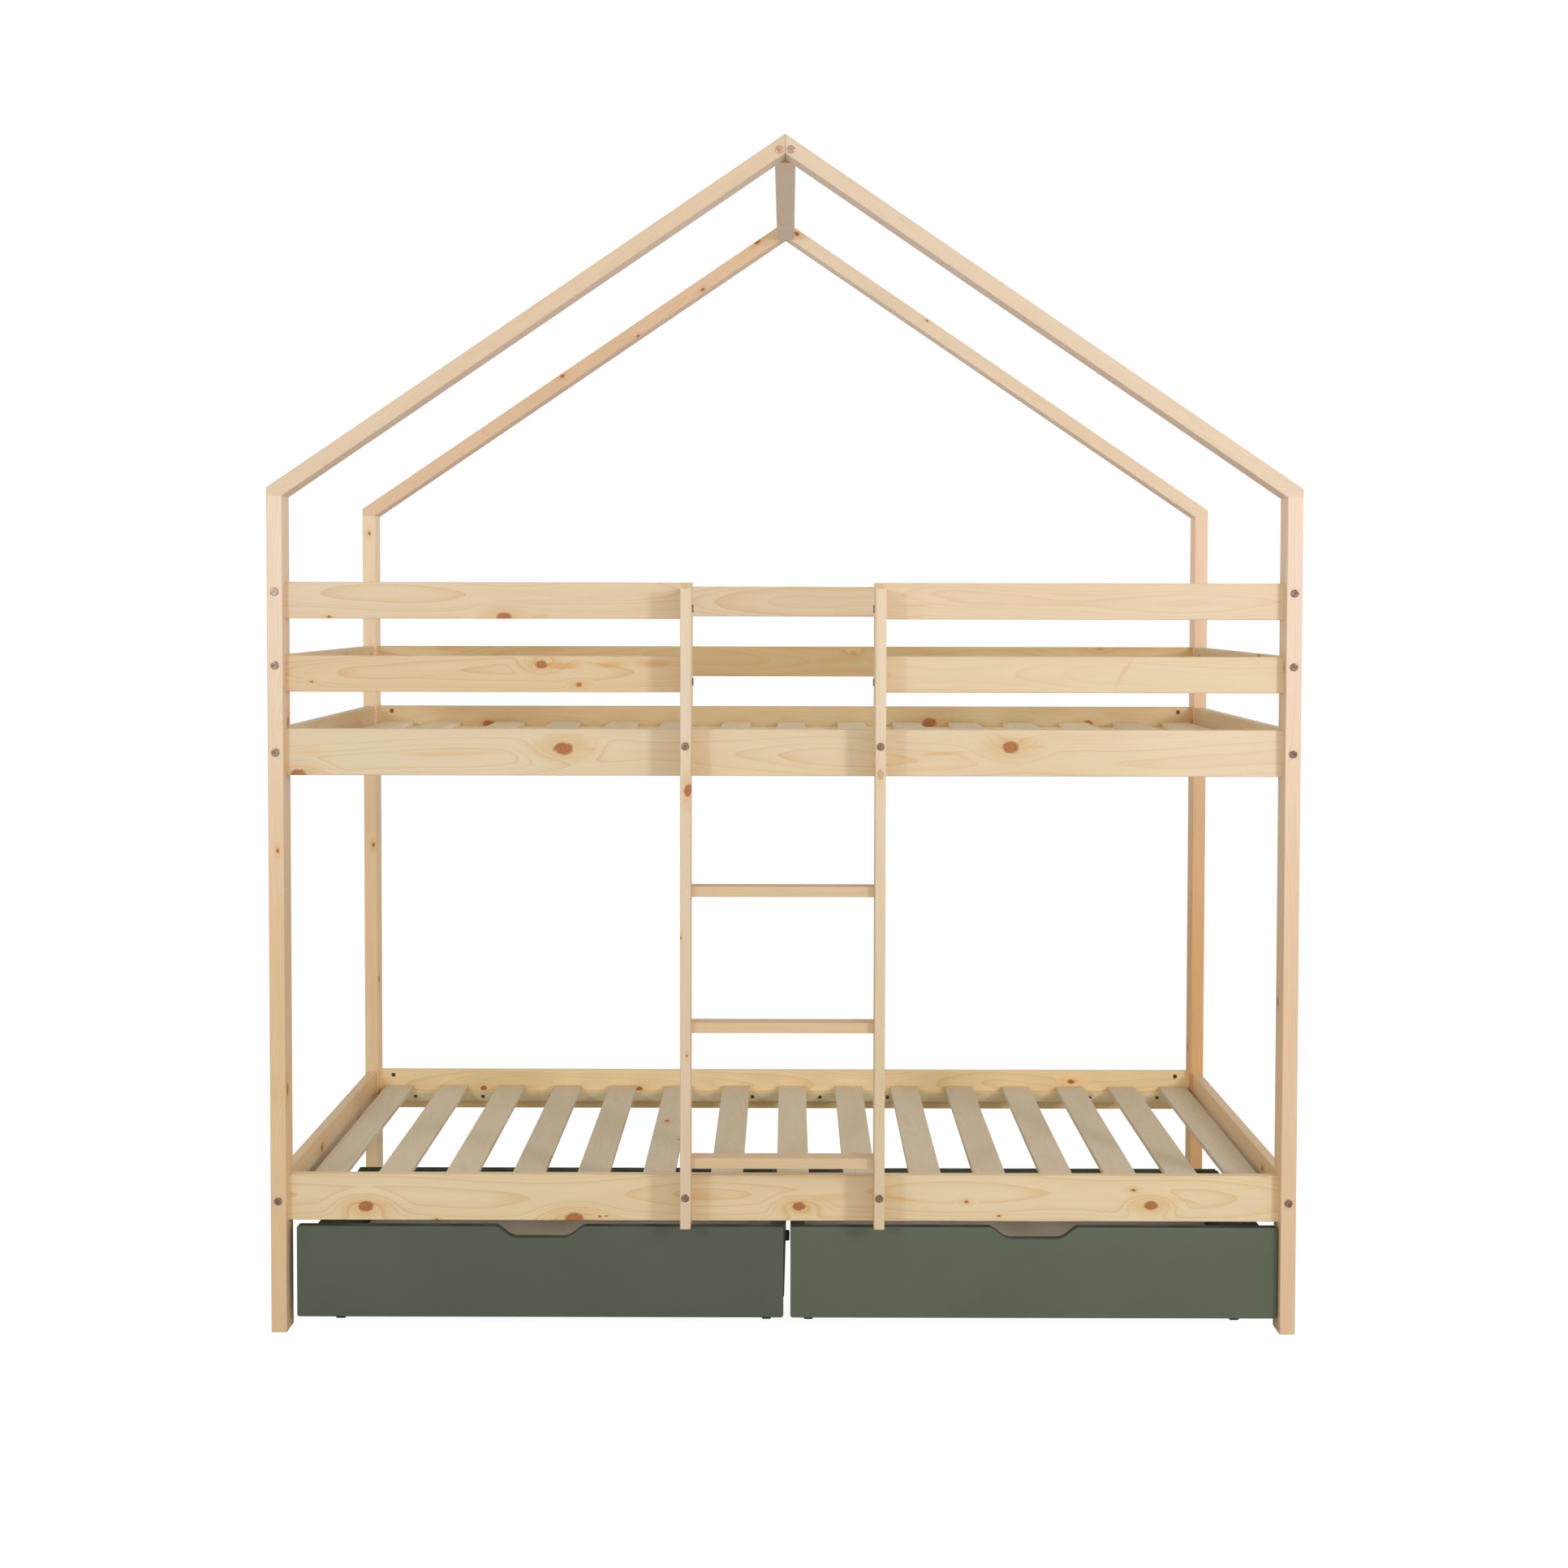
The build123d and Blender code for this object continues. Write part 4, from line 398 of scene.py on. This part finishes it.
    # sawn ends drink the lacquer and look darker
    facing = g.math("ABSOLUTE", g.dot(g.normal, along))
    end = g.step(facing, 0.75, 0.95)
    colour = g.mix(end, colour, g.mix(1.0, colour, (0.86, 0.77, 0.66), "MULTIPLY"))

    for s in streaks:
        # l, w, half length, half width, tilt in degrees, strength: resin-rich bands of deeper colour
        sl, sw, hl, hw, tilt, power = s
        ca, sa = math.cos(math.radians(tilt)), math.sin(math.radians(tilt))
        dl, dw = g.sub(l, sl * MM), g.sub(a, sw * MM)
        u = g.mad(dl, ca, g.mul(dw, sa))
        v = g.mad(dw, ca, g.mul(dl, -sa))
        wav = g.mul(g.sub(waver, 0.5), hw * MM * 1.4)
        far = g.length(g.mul(u, 1.0 / (hl * MM)), g.mul(g.add(v, wav), 1.0 / (hw * MM)))
        band = g.step(far, 0.25, 1.0, power, 0.0)
        colour = g.mix(band, colour, g.mix(1.0, colour, (0.94, 0.74, 0.50), "MULTIPLY"))

    if core is not None:
        colour = g.mix(g.mul(halo, 0.72), colour, g.mix(1.0, colour, (0.95, 0.80, 0.60), "MULTIPLY"))
        heart = g.mix(g.mad(inner, 0.5, 0.5), (0.400, 0.118, 0.027), (0.530, 0.185, 0.044))
        colour = g.mix(core, colour, heart)
        colour = g.mix(g.mul(rim, 0.50), colour, (0.190, 0.058, 0.016))

    height = g.mad(late_part, 0.55, g.mul(fibre, 0.7))
    height = g.mad(ducts, -0.5, height)
    normal = g.bump(height, 0.05 if not raw else 0.12, 0.0005)
    roughness = g.mad(g.sub(fibre, 0.5), 0.16, rough)
    roughness = g.mad(late_part, -0.06, roughness)
    mat = g.finish(colour, roughness, normal)
    return mat


X, Y, Z = (1.0, 0.0, 0.0), (0.0, 1.0, 0.0), (0.0, 0.0, 1.0)


def by_height(levels):
    """several boards at different heights: middle height of each, in mm, lowest first"""
    def choose(g, centre, seed):
        z = g.dot(g.place, Z)
        mid = levels[0] * MM
        index = seed
        for lower, upper in zip(levels, levels[1:]):
            above = g.math("GREATER_THAN", z, (lower + upper) / 2.0 * MM)
            mid = g.mad(above, (upper - lower) * MM, mid)
            index = g.add(above, index)
        return mid, centre[1], index
    return choose


def every(direction, pitch, seed_step=1.0):
    """a row of like pieces, one per pitch, in mm"""
    def choose(g, centre, seed):
        x = g.dot(g.place, direction)
        number = g.math("ROUND", g.mul(x, 1.0 / (pitch * MM)))
        mid = g.mul(number, pitch * MM)
        return mid, centre[1], g.mad(number, seed_step, seed)
    return choose


def slats_choose(g, centre, seed):
    x = g.dot(g.place, X)
    number = g.math("ROUND", g.mul(x, 1.0 / 0.131))
    return g.mul(number, 0.131), centre[1], g.add(number, seed)


def bearers_choose(g, centre, seed):
    z = g.dot(g.place, Z)
    y = g.dot(g.place, Y)
    upper = g.math("GREATER_THAN", z, 0.70)
    rear = g.math("GREATER_THAN", y, 0.0)
    mid = g.mad(upper, 0.865, 0.246)
    index = g.add(g.mad(upper, 2.0, rear), seed)
    return mid, centre[1], index


def use(node, mat):
    obj = NODES[node]
    obj.data.materials.clear()
    obj.data.materials.append(mat)
    done.add(node)


done = set()

PAIR = by_height((1275.0, 1416.0))
RUNG = by_height((338.0, 599.5, 861.0))

# ---- long rails -----------------------------------------------------------
use("lower_front_side_rail", wood(
    "pine_lower_front_rail", X, Z, Y, (0.259, -0.445), seed=3.1, spacing=0.0062, pith=(0.006, 0.036),
    wander=(0.030, 0.026), contrast=0.95, tone=(1.06, 1.07, 1.00),
    knots=((-810, 241, 8.8), (-405, 217, 10.2), (30, 243, 7.2), (713, 246, 7.6), (355, 252, 2.4),
           (418, 225, 1.8), (679, 276, 2.4), (-673, 216, 1.8), (-356, 222, 1.8), (-343, 223, 1.5)),
    streaks=((784, 255, 42, 4, -14, 0.5), (-160, 262, 60, 12, 0, 0.35), (95, 262, 55, 9, 2, 0.45),
             (215, 258, 70, 10, -3, 0.45), (-520, 258, 60, 8, 0, 0.2))))
# painted light: this rail gets lighter and bluer towards its right end
use("upper_front_side_rail", wood(
    "pine_upper_front_rail", X, Z, Y, (1.124, -0.445), seed=11.7, spacing=0.0048, pith=(-0.010, 0.034),
    wander=(0.024, 0.018), contrast=0.50, tone=(1.00, 1.01, 0.99),
    painted_light_ramp=(450, 900, (1.0, 1.0, 1.0), (1.06, 1.07, 1.13)),
    knots=((-425, 1131.5, 10.6), (436, 1135.6, 9.4), (-936, 1080, 9.0)),
    streaks=((-640, 1122, 150, 6, 1, 0.45), (18, 1114, 30, 9, 0, 0.30), (-905, 1122, 40, 14, 0, 0.25),
             (306, 1124, 70, 5, 3, 0.55), (-376, 1130, 18, 3, 0, 0.6), (490, 1136, 26, 3, 0, 0.6),
             (-250, 1128, 90, 7, 0, 0.30))))
# the lower rear rail's tone is partly its own colour and partly painted light, raised to make up for light that does
# not reach it
use("lower_rear_side_rail", wood(
    "pine_lower_rear_rail", X, Z, Y, (0.259, 0.485), seed=23.9, spacing=0.0040, pith=(0.010, 0.036),
    contrast=0.55, tone=(1.26, 1.27, 1.15), knots=((-713, 261, 4.6), (-343, 261, 4.2), (681, 279, 4.6))))
use("upper_rear_side_rail", wood(
    "pine_upper_rear_rail", X, Z, Y, (1.124, 0.485), seed=37.2, spacing=0.0044, pith=(0.012, 0.030),
    contrast=0.45, tone=(1.01, 0.985, 0.86), knots=((-699, 1127, 7.5), (341, 1131, 9.5), (715, 1130, 6.5))))

# ---- guards ---------------------------------------------------------------
use("front_left_guards", wood(
    "pine_front_left_guards", X, Z, Y, (1.275, -0.445), seed=5.4, spacing=0.0040, pith=(0.010, 0.036),
    wander=(0.026, 0.020), contrast=0.60, pieces=PAIR, tone=(1.00, 0.94, 0.83), tone2=(0.99, 0.98, 0.98),
    knots=((-539, 1384, 8.0), (-467, 1293, 6.6), (-395, 1254.6, 3.4), (-909, 1259, 1.8), (-875, 1384, 2.4)),
    streaks=((-423, 1292, 44, 10, 0, 0.90), (-335, 1293, 42, 9, 0, 0.80), (-252, 1294, 44, 10, 0, 0.85),
             (-180, 1294, 34, 8, 0, 0.65), (-470, 1386, 26, 5, 5, 0.6), (-640, 1278, 120, 10, 0, 0.2))))
use("front_right_guards", wood(
    "pine_front_right_guards", X, Z, Y, (1.275, -0.445), seed=14.9, spacing=0.0034, pith=(0.010, 0.038),
    wander=(0.020, 0.018), contrast=0.38, pieces=PAIR, tone=(1.02, 1.03, 1.01), tone2=(1.03, 1.02, 1.05),
    streaks=((653, 1280, 40, 7, 58, 0.55), (250, 1408, 40, 3, 4, 0.5), (252, 1386, 34, 3, 4, 0.5))))
use("rear_guards", wood(
    "pine_rear_guards", X, Z, Y, (1.275, 0.485), seed=27.5, spacing=0.0052, pith=(0.010, 0.032), contrast=0.62,
    pieces=PAIR, tone=(0.94, 0.885, 0.73), tone2=(1.07, 1.12, 1.20),
    knots=((162, 1296, 4.0, "face", 0.35), (742, 1306, 4.0, "face", 0.3)),
    streaks=((130, 1281, 120, 10, 3, 0.4), (-560, 1302, 60, 10, 0, 0.4), (-780, 1304, 60, 8, 0, 0.4))))
use("left_end_guards", wood(
    "pine_left_end_guards", Y, Z, X, (1.275, -0.975), seed=41.3, spacing=0.0040, pith=(0.010, -0.036),
    contrast=0.60, pieces=PAIR, knots=((140, 1290, 6.0), (-180, 1402, 5.0))))
use("right_end_guards", wood(
    "pine_right_end_guards", Y, Z, X, (1.275, 0.975), seed=47.8, spacing=0.0040, pith=(0.010, 0.036),
    contrast=0.60, pieces=PAIR, knots=((-212, 1308, 6.0), (230, 1425, 5.0))))

# ---- end rails ------------------------------------------------------------
use("lower_left_end_rail", wood(
    "pine_lower_left_end_rail", Y, Z, X, (0.259, -0.975), seed=53.1, spacing=0.0045, pith=(0.008, -0.034),
    contrast=0.60, tone=(1.02, 0.96, 0.88), knots=((-130, 273, 7.5), (245, 243, 6.0))))
use("lower_right_end_rail", wood(
    "pine_lower_right_end_rail", Y, Z, X, (0.259, 0.975), seed=59.6, spacing=0.0045, pith=(-0.008, 0.036),
    contrast=0.60, tone=(1.02, 0.96, 0.88), knots=((60, 247, 7.0), (-290, 275, 5.0))))
use("upper_left_end_rail", wood(
    "pine_upper_left_end_rail", Y, Z, X, (1.124, -0.975), seed=61.2, spacing=0.0045, pith=(0.012, -0.034),
    contrast=0.60, knots=((180, 1114, 7.0),)))
use("upper_right_end_rail", wood(
    "pine_upper_right_end_rail", Y, Z, X, (1.124, 0.975), seed=67.9, spacing=0.0045, pith=(-0.012, 0.034),
    contrast=0.60, knots=((-60, 1136, 6.5), (310, 1104, 5.0))))

# ---- posts ----------------------------------------------------------------
# painted light: each post gets lighter and bluer towards the top; the front posts also get painted shade on their
# narrow flanks
use("front_left_post", wood(
    "pine_front_left_post", Z, Y, X, (-0.445, -0.975), seed=71.4, spacing=0.0034, pith=(0.014, 0.034),
    contrast=0.42, tone=(1.05, 1.00, 0.98),
    painted_light_ramp=(550, 1450, (0.97, 0.91, 0.81), (1.09, 1.12, 1.27)), painted_flank_shade=0.88, knots=((935, -972, 2.6, "edge"), (1180, -435, 6.0), (470, -457, 7.0))))
use("front_right_post", wood(
    "pine_front_right_post", Z, Y, X, (-0.445, 0.975), seed=79.3, spacing=0.0034, pith=(0.014, -0.034),
    contrast=0.36, tone=(1.05, 1.01, 1.00),
    painted_light_ramp=(550, 1450, (0.97, 0.91, 0.88), (1.07, 1.08, 1.23)), painted_flank_shade=0.90, knots=((1290, -453, 6.5), (640, -433, 6.0))))
use("rear_left_post", wood(
    "pine_rear_left_post", Z, Y, X, (0.485, -0.975), seed=83.7, spacing=0.0034, pith=(-0.014, 0.034),
    contrast=0.42, tone=(1.12, 1.08, 0.98),
    painted_light_ramp=(550, 1450, (1.00, 0.96, 0.94), (1.06, 1.10, 1.25)), knots=((842, -968, 3.0, "edge"), (1574, -974, 2.6, "edge"), (520, 477, 6.0))))
use("rear_right_post", wood(
    "pine_rear_right_post", Z, Y, X, (0.485, 0.975), seed=89.2, spacing=0.0034, pith=(-0.014, -0.034),
    contrast=0.42, tone=(1.07, 0.90, 0.72),
    painted_light_ramp=(550, 1450, (0.91, 0.80, 0.65), (1.11, 1.22, 1.66)), knots=((1130, 475, 6.0), (360, 493, 5.5))))

# ---- ladder ---------------------------------------------------------------
# painted light: the ladder rails get lighter towards the top
use("ladder_left_rail", wood(
    "pine_ladder_left_rail", Z, Y, X, (-0.485, -0.1875), seed=97.6, spacing=0.0036, pith=(0.010, 0.036),
    contrast=0.36, tone=(1.02, 1.05, 1.12), painted_light_ramp=(500, 1400, (0.97, 0.94, 0.96), (1.03, 1.02, 1.05)),
    knots=((1056, -182.5, 6.6, "edge"), (775, -196.5, 2.0, "edge"), (549, -184.5, 1.6, "edge"))))
use("ladder_right_rail", wood(
    "pine_ladder_right_rail", Z, Y, X, (-0.485, 0.1835), seed=101.3, spacing=0.0036, pith=(0.010, -0.036),
    contrast=0.36, tone=(1.00, 1.02, 1.04),
    painted_light_ramp=(500, 1400, (0.97, 0.94, 0.89), (1.08, 1.08, 1.13)), knots=((1087, 183, 5.5, "edge", 0.42), (640, -479, 5.0))))
use("ladder_rungs", wood(
    "pine_rungs", X, Y, Z, (-0.480, 0.338), seed=107.8, spacing=0.0034, pith=(0.008, -0.032), contrast=0.45,
    tone=(0.95, 0.89, 0.81),
    pieces=lambda g, centre, seed: (lambda r: (centre[0], r[0], r[2]))(RUNG(g, centre, seed))))
use("left_guard_post", wood(
    "pine_left_guard_post", Z, Y, X, (-0.435, -0.1875), seed=113.5, spacing=0.0034, contrast=0.50,
    tone=(0.98, 0.93, 0.84)))
use("right_guard_post", wood(
    "pine_right_guard_post", Z, Y, X, (-0.435, 0.1835), seed=127.1, spacing=0.0034, contrast=0.50,
    tone=(0.98, 0.93, 0.84)))

# ---- roof -----------------------------------------------------------------
SLOPE = math.radians(34.13)
CO, SI = math.cos(SLOPE), math.sin(SLOPE)


def rafter(name, side, y_mid, seed, spots=(), **more):
    # spots: x and z of a knot, in mm, and its radius
    along = (-side * CO, 0.0, SI)
    across = (side * SI, 0.0, CO)
    mid = 2.302 * CO - 0.0225
    places = tuple((-side * CO * x + SI * z, side * SI * x + CO * z, r) for x, z, r in spots)
    use(name, wood("pine_" + name, along, across, Y, (mid, y_mid), seed=seed, spacing=0.0036, knots=places, mitre_seam_and_underside_shade=True, **more))


rafter("front_left_rafter", -1.0, -0.445, 131.9, contrast=0.34, tone=(0.99, 0.96, 0.99))
rafter("front_right_rafter", 1.0, -0.445, 137.4, contrast=0.30, tone=(1.01, 1.00, 1.07))
rafter("rear_left_rafter", -1.0, 0.485, 149.8, contrast=0.38, tone=(1.04, 0.93, 0.90),
       spots=((-521, 1942, 3.4), (-344, 2035, 2.4), (-193, 2143, 3.0), (-66, 2254, 4.6)))
rafter("rear_right_rafter", 1.0, 0.485, 151.6, contrast=0.34, tone=(1.09, 1.10, 1.18),
       spots=((26, 2273, 4.0), (330, 2072, 2.0)))
use("ridge_beam", wood(
    "pine_ridge_beam", Y, X, Z, (0.0, 2.273), seed=157.7, spacing=0.0034, contrast=0.30,
    early=(0.780, 0.620, 0.450), late=(0.640, 0.470, 0.300), streaks=((262, 4, 7, 60, 0, 0.9),)))

# ---- slats and bearers ----------------------------------------------------
RAW_EARLY, RAW_LATE = (0.755, 0.640, 0.455), (0.665, 0.525, 0.335)
use("lower_slats", wood(
    "slat_lower", Y, X, Z, (0.0, 0.2625), seed=163.0, spacing=0.0034, contrast=0.45, rough=0.72, raw=True,
    pieces=slats_choose, early=RAW_EARLY, late=RAW_LATE, vary=0.06, knots=((127, -258, 5.0), (-38, -224, 2.4))))
use("upper_slats", wood(
    "slat_upper", Y, X, Z, (0.0, 1.1275), seed=191.0, spacing=0.0034, contrast=0.45, rough=0.72, raw=True,
    pieces=slats_choose, early=(0.930, 0.790, 0.560), late=(0.830, 0.650, 0.410), vary=0.06))
use("slat_bearers", wood(
    "bearer", X, Z, Y, (0.246, 0.0), seed=211.0, spacing=0.0034, contrast=0.60, rough=0.62, raw=True,
    pieces=bearers_choose, early=(0.900, 0.740, 0.430), late=(0.750, 0.540, 0.280)))
use("dowels", wood(
    "beech_dowel", X, Z, Y, (0.0, 0.0), seed=223.0, spacing=0.0018, contrast=0.5, rough=0.6, raw=True,
    early=(0.60, 0.42, 0.26), late=(0.47, 0.29, 0.16)))


# ---------------------------------------------------------------------------
# painted drawer boards
# ---------------------------------------------------------------------------
def green_paint(name, seed, tone=1.0):
    g = Graph(name)
    p = g.scaled(g.place, (1.0, 1.0, 1.0), (seed, seed * 0.7, -seed))
    cloud = g.noise(p, 5.5, 3.0, 0.55)
    roller = g.noise(p, 620.0, 2.0, 0.6)
    fleck = g.noise(p, 1900.0, 1.0, 0.5)
    dust = g.step(g.noise(p, 260.0, 2.0, 0.7), 0.70, 0.80)
    base = (0.0845 * tone, 0.1000 * tone, 0.0570 * tone)
    colour = g.mix(g.step(cloud, 0.30, 0.70), base, tuple(c * k for c, k in zip(base, (1.09, 1.08, 1.10))))
    light = g.mad(g.sub(roller, 0.5), 0.16, 1.0)
    light = g.mul(light, g.mad(g.sub(fleck, 0.5), 0.12, 1.0))
    colour = g.times(colour, light)
    colour = g.mix(g.mul(dust, 0.10), colour, (0.17, 0.18, 0.14))
    # painted shade: the narrow upward-facing edges are darkened, as if in the shade under the bed
    upper = g.step(g.dot(g.normal, Z), 0.35, 0.85)
    colour = g.mix(g.mul(upper, 0.72), colour, (0.020, 0.026, 0.020))
    normal = g.bump(g.mad(fleck, 0.35, roller), 0.14, 0.0005)
    rough = g.mad(g.sub(roller, 0.5), 0.18, 0.56)
    return g.finish(colour, rough, normal)


paint_left = green_paint("green_paint_left", 2.3)
# painted light: the right drawer gets the same paint made 1.21 times brighter, standing in for the stronger light from
# the right
paint_right_painted_lighter = green_paint("green_paint_right", 8.9, 1.21)
for side, paint in (("left", paint_left), ("right", paint_right_painted_lighter)):
    for part in ("front", "sides", "back", "cleats"):
        use(f"{side}_drawer_{part}", paint)


def hardboard():
    g = Graph("hardboard")
    chips = g.noise(g.place, 420.0, 3.0, 0.7)
    felt = g.noise(g.scaled(g.place, (1.0, 1.0, 0.2)), 1500.0, 2.0, 0.6)
    cloud = g.noise(g.place, 9.0, 2.0)
    colour = g.mix(g.step(chips, 0.30, 0.72), (0.900, 0.840, 0.760), (0.840, 0.770, 0.680))
    light = g.mul(g.mad(g.sub(felt, 0.5), 0.34, 1.0), g.mad(g.sub(cloud, 0.5), 0.14, 1.0))
    colour = g.times(colour, light)
    dark = g.step(g.noise(g.place, 900.0, 1.0), 0.68, 0.78)
    colour = g.mix(g.mul(dark, 0.25), colour, (0.45, 0.36, 0.27))
    normal = g.bump(g.add(chips, felt), 0.22, 0.0004)
    return g.finish(colour, g.mad(g.sub(felt, 0.5), 0.2, 0.62), normal)


board_mat = hardboard()
use("left_drawer_bottom", board_mat)
use("right_drawer_bottom", board_mat)


# ---------------------------------------------------------------------------
# metal, plastic and rubber
# ---------------------------------------------------------------------------
def metal(name, bright, dull, rough, scale=900.0, worn=0.5):
    g = Graph(name)
    cloud = g.noise(g.place, scale * 0.22, 3.0, 0.6)
    fine = g.noise(g.place, scale * 1.9, 2.0, 0.6)
    pits = g.step(g.noise(g.place, scale, 2.0, 0.6), 0.62, 0.76)
    colour = g.mix(g.step(cloud, 0.32, 0.70), dull, bright)
    colour = g.mix(g.mul(pits, worn), colour, tuple(0.55 * c for c in dull))
    colour = g.times(colour, g.mad(g.sub(fine, 0.5), 0.2, 1.0))
    normal = g.bump(g.mad(pits, -0.7, fine), 0.15, 0.0002)
    roughness = g.add(g.mad(g.sub(fine, 0.5), 0.2, rough), g.mul(pits, 0.16))
    return g.finish(colour, roughness, normal, metal=1.0)


bronze = metal("bronze_plated", (0.470, 0.320, 0.235), (0.240, 0.155, 0.105), 0.24)
copper = metal("copper_plated", (0.860, 0.570, 0.450), (0.600, 0.360, 0.270), 0.22, worn=0.35)
dark_nut = metal("dark_plated", (0.260, 0.190, 0.120), (0.130, 0.095, 0.065), 0.34)
zinc = metal("zinc_plated", (0.720, 0.690, 0.640), (0.560, 0.540, 0.505), 0.34, worn=0.35)
for name in ("side_rail_bolts", "end_rail_bolts", "guard_post_bolts", "ladder_bolts"):
    use(name, bronze)
use("ridge_bolts", copper)
use("frame_nuts", dark_nut)
use("bearer_screws", dark_nut)
for name in ("ladder_screws",
             "left_drawer_screws", "right_drawer_screws", "left_drawer_castor_forks",
             "right_drawer_castor_forks", "left_drawer_axles", "right_drawer_axles"):
    use(name, zinc)


def moulded(name, base, rough, mottle):
    g = Graph(name)
    grain = g.noise(g.place, 1500.0, 2.0, 0.6)
    cloud = g.noise(g.place, 60.0, 3.0, 0.6)
    scuff = g.step(g.noise(g.place, 380.0, 3.0, 0.7), 0.60, 0.78)
    colour = g.mix(g.step(cloud, 0.3, 0.7), base, tuple(c * 1.35 for c in base))
    colour = g.mix(g.mul(scuff, mottle), colour, tuple(min(1.0, c * 3.0) for c in base))
    normal = g.bump(grain, 0.2, 0.0003)
    return g.finish(colour, g.mad(g.sub(grain, 0.5), 0.2, rough), normal)


plastic = moulded("black_plastic", (0.018, 0.018, 0.019), 0.42, 0.30)
rubber = moulded("black_rubber", (0.011, 0.011, 0.011), 0.72, 0.15)
for name in ("left_front_wheels", "left_rear_wheels", "right_front_wheels", "right_rear_wheels"):
    use(name, plastic)
use("left_drawer_buffers", rubber)

missing = sorted(set(NODES) - done)
assert not missing, missing

# ---------------------------------------------------------------------------
# floor
# ---------------------------------------------------------------------------
mesh = bpy.data.meshes.new("floor")
mesh.from_pydata([(-8, -8, -0.0002), (8, -8, -0.0002), (8, 8, -0.0002), (-8, 8, -0.0002)], [], [(0, 1, 2, 3)])
floor = bpy.data.objects.new("floor", mesh)
scene.collection.objects.link(floor)
fg = Graph("pale_floor")
fine = fg.noise(fg.place, 40.0, 3.0, 0.6)
fg.finish(fg.mix(fine, (0.78, 0.78, 0.78), (0.81, 0.81, 0.81)), 0.75)
fg.shader.inputs["Emission Color"].default_value = (1.0, 1.0, 1.0, 1.0)
fg.shader.inputs["Emission Strength"].default_value = FLOOR_GLOW
fg.shader.inputs["Specular IOR Level"].default_value = 0.0
# seen directly the floor is blown out to white, with only a trace of shade under the bed
white = fg.node("ShaderNodeBsdfPrincipled")
white.inputs["Base Color"].default_value = (0.20, 0.20, 0.20, 1.0)
white.inputs["Roughness"].default_value = 0.8
white.inputs["Specular IOR Level"].default_value = 0.0
white.inputs["Emission Color"].default_value = (1.0, 1.0, 1.0, 1.0)
white.inputs["Emission Strength"].default_value = 0.95
both = fg.node("ShaderNodeMixShader")
fg.tree.links.new(fg.node("ShaderNodeLightPath").outputs["Is Camera Ray"], both.inputs["Fac"])
fg.tree.links.new(fg.shader.outputs["BSDF"], both.inputs[1])
fg.tree.links.new(white.outputs["BSDF"], both.inputs[2])
fg.tree.links.new(both.outputs[0], fg.out.inputs["Surface"])
fg.mat.cycles.emission_sampling = "NONE"
floor.data.materials.append(fg.mat)
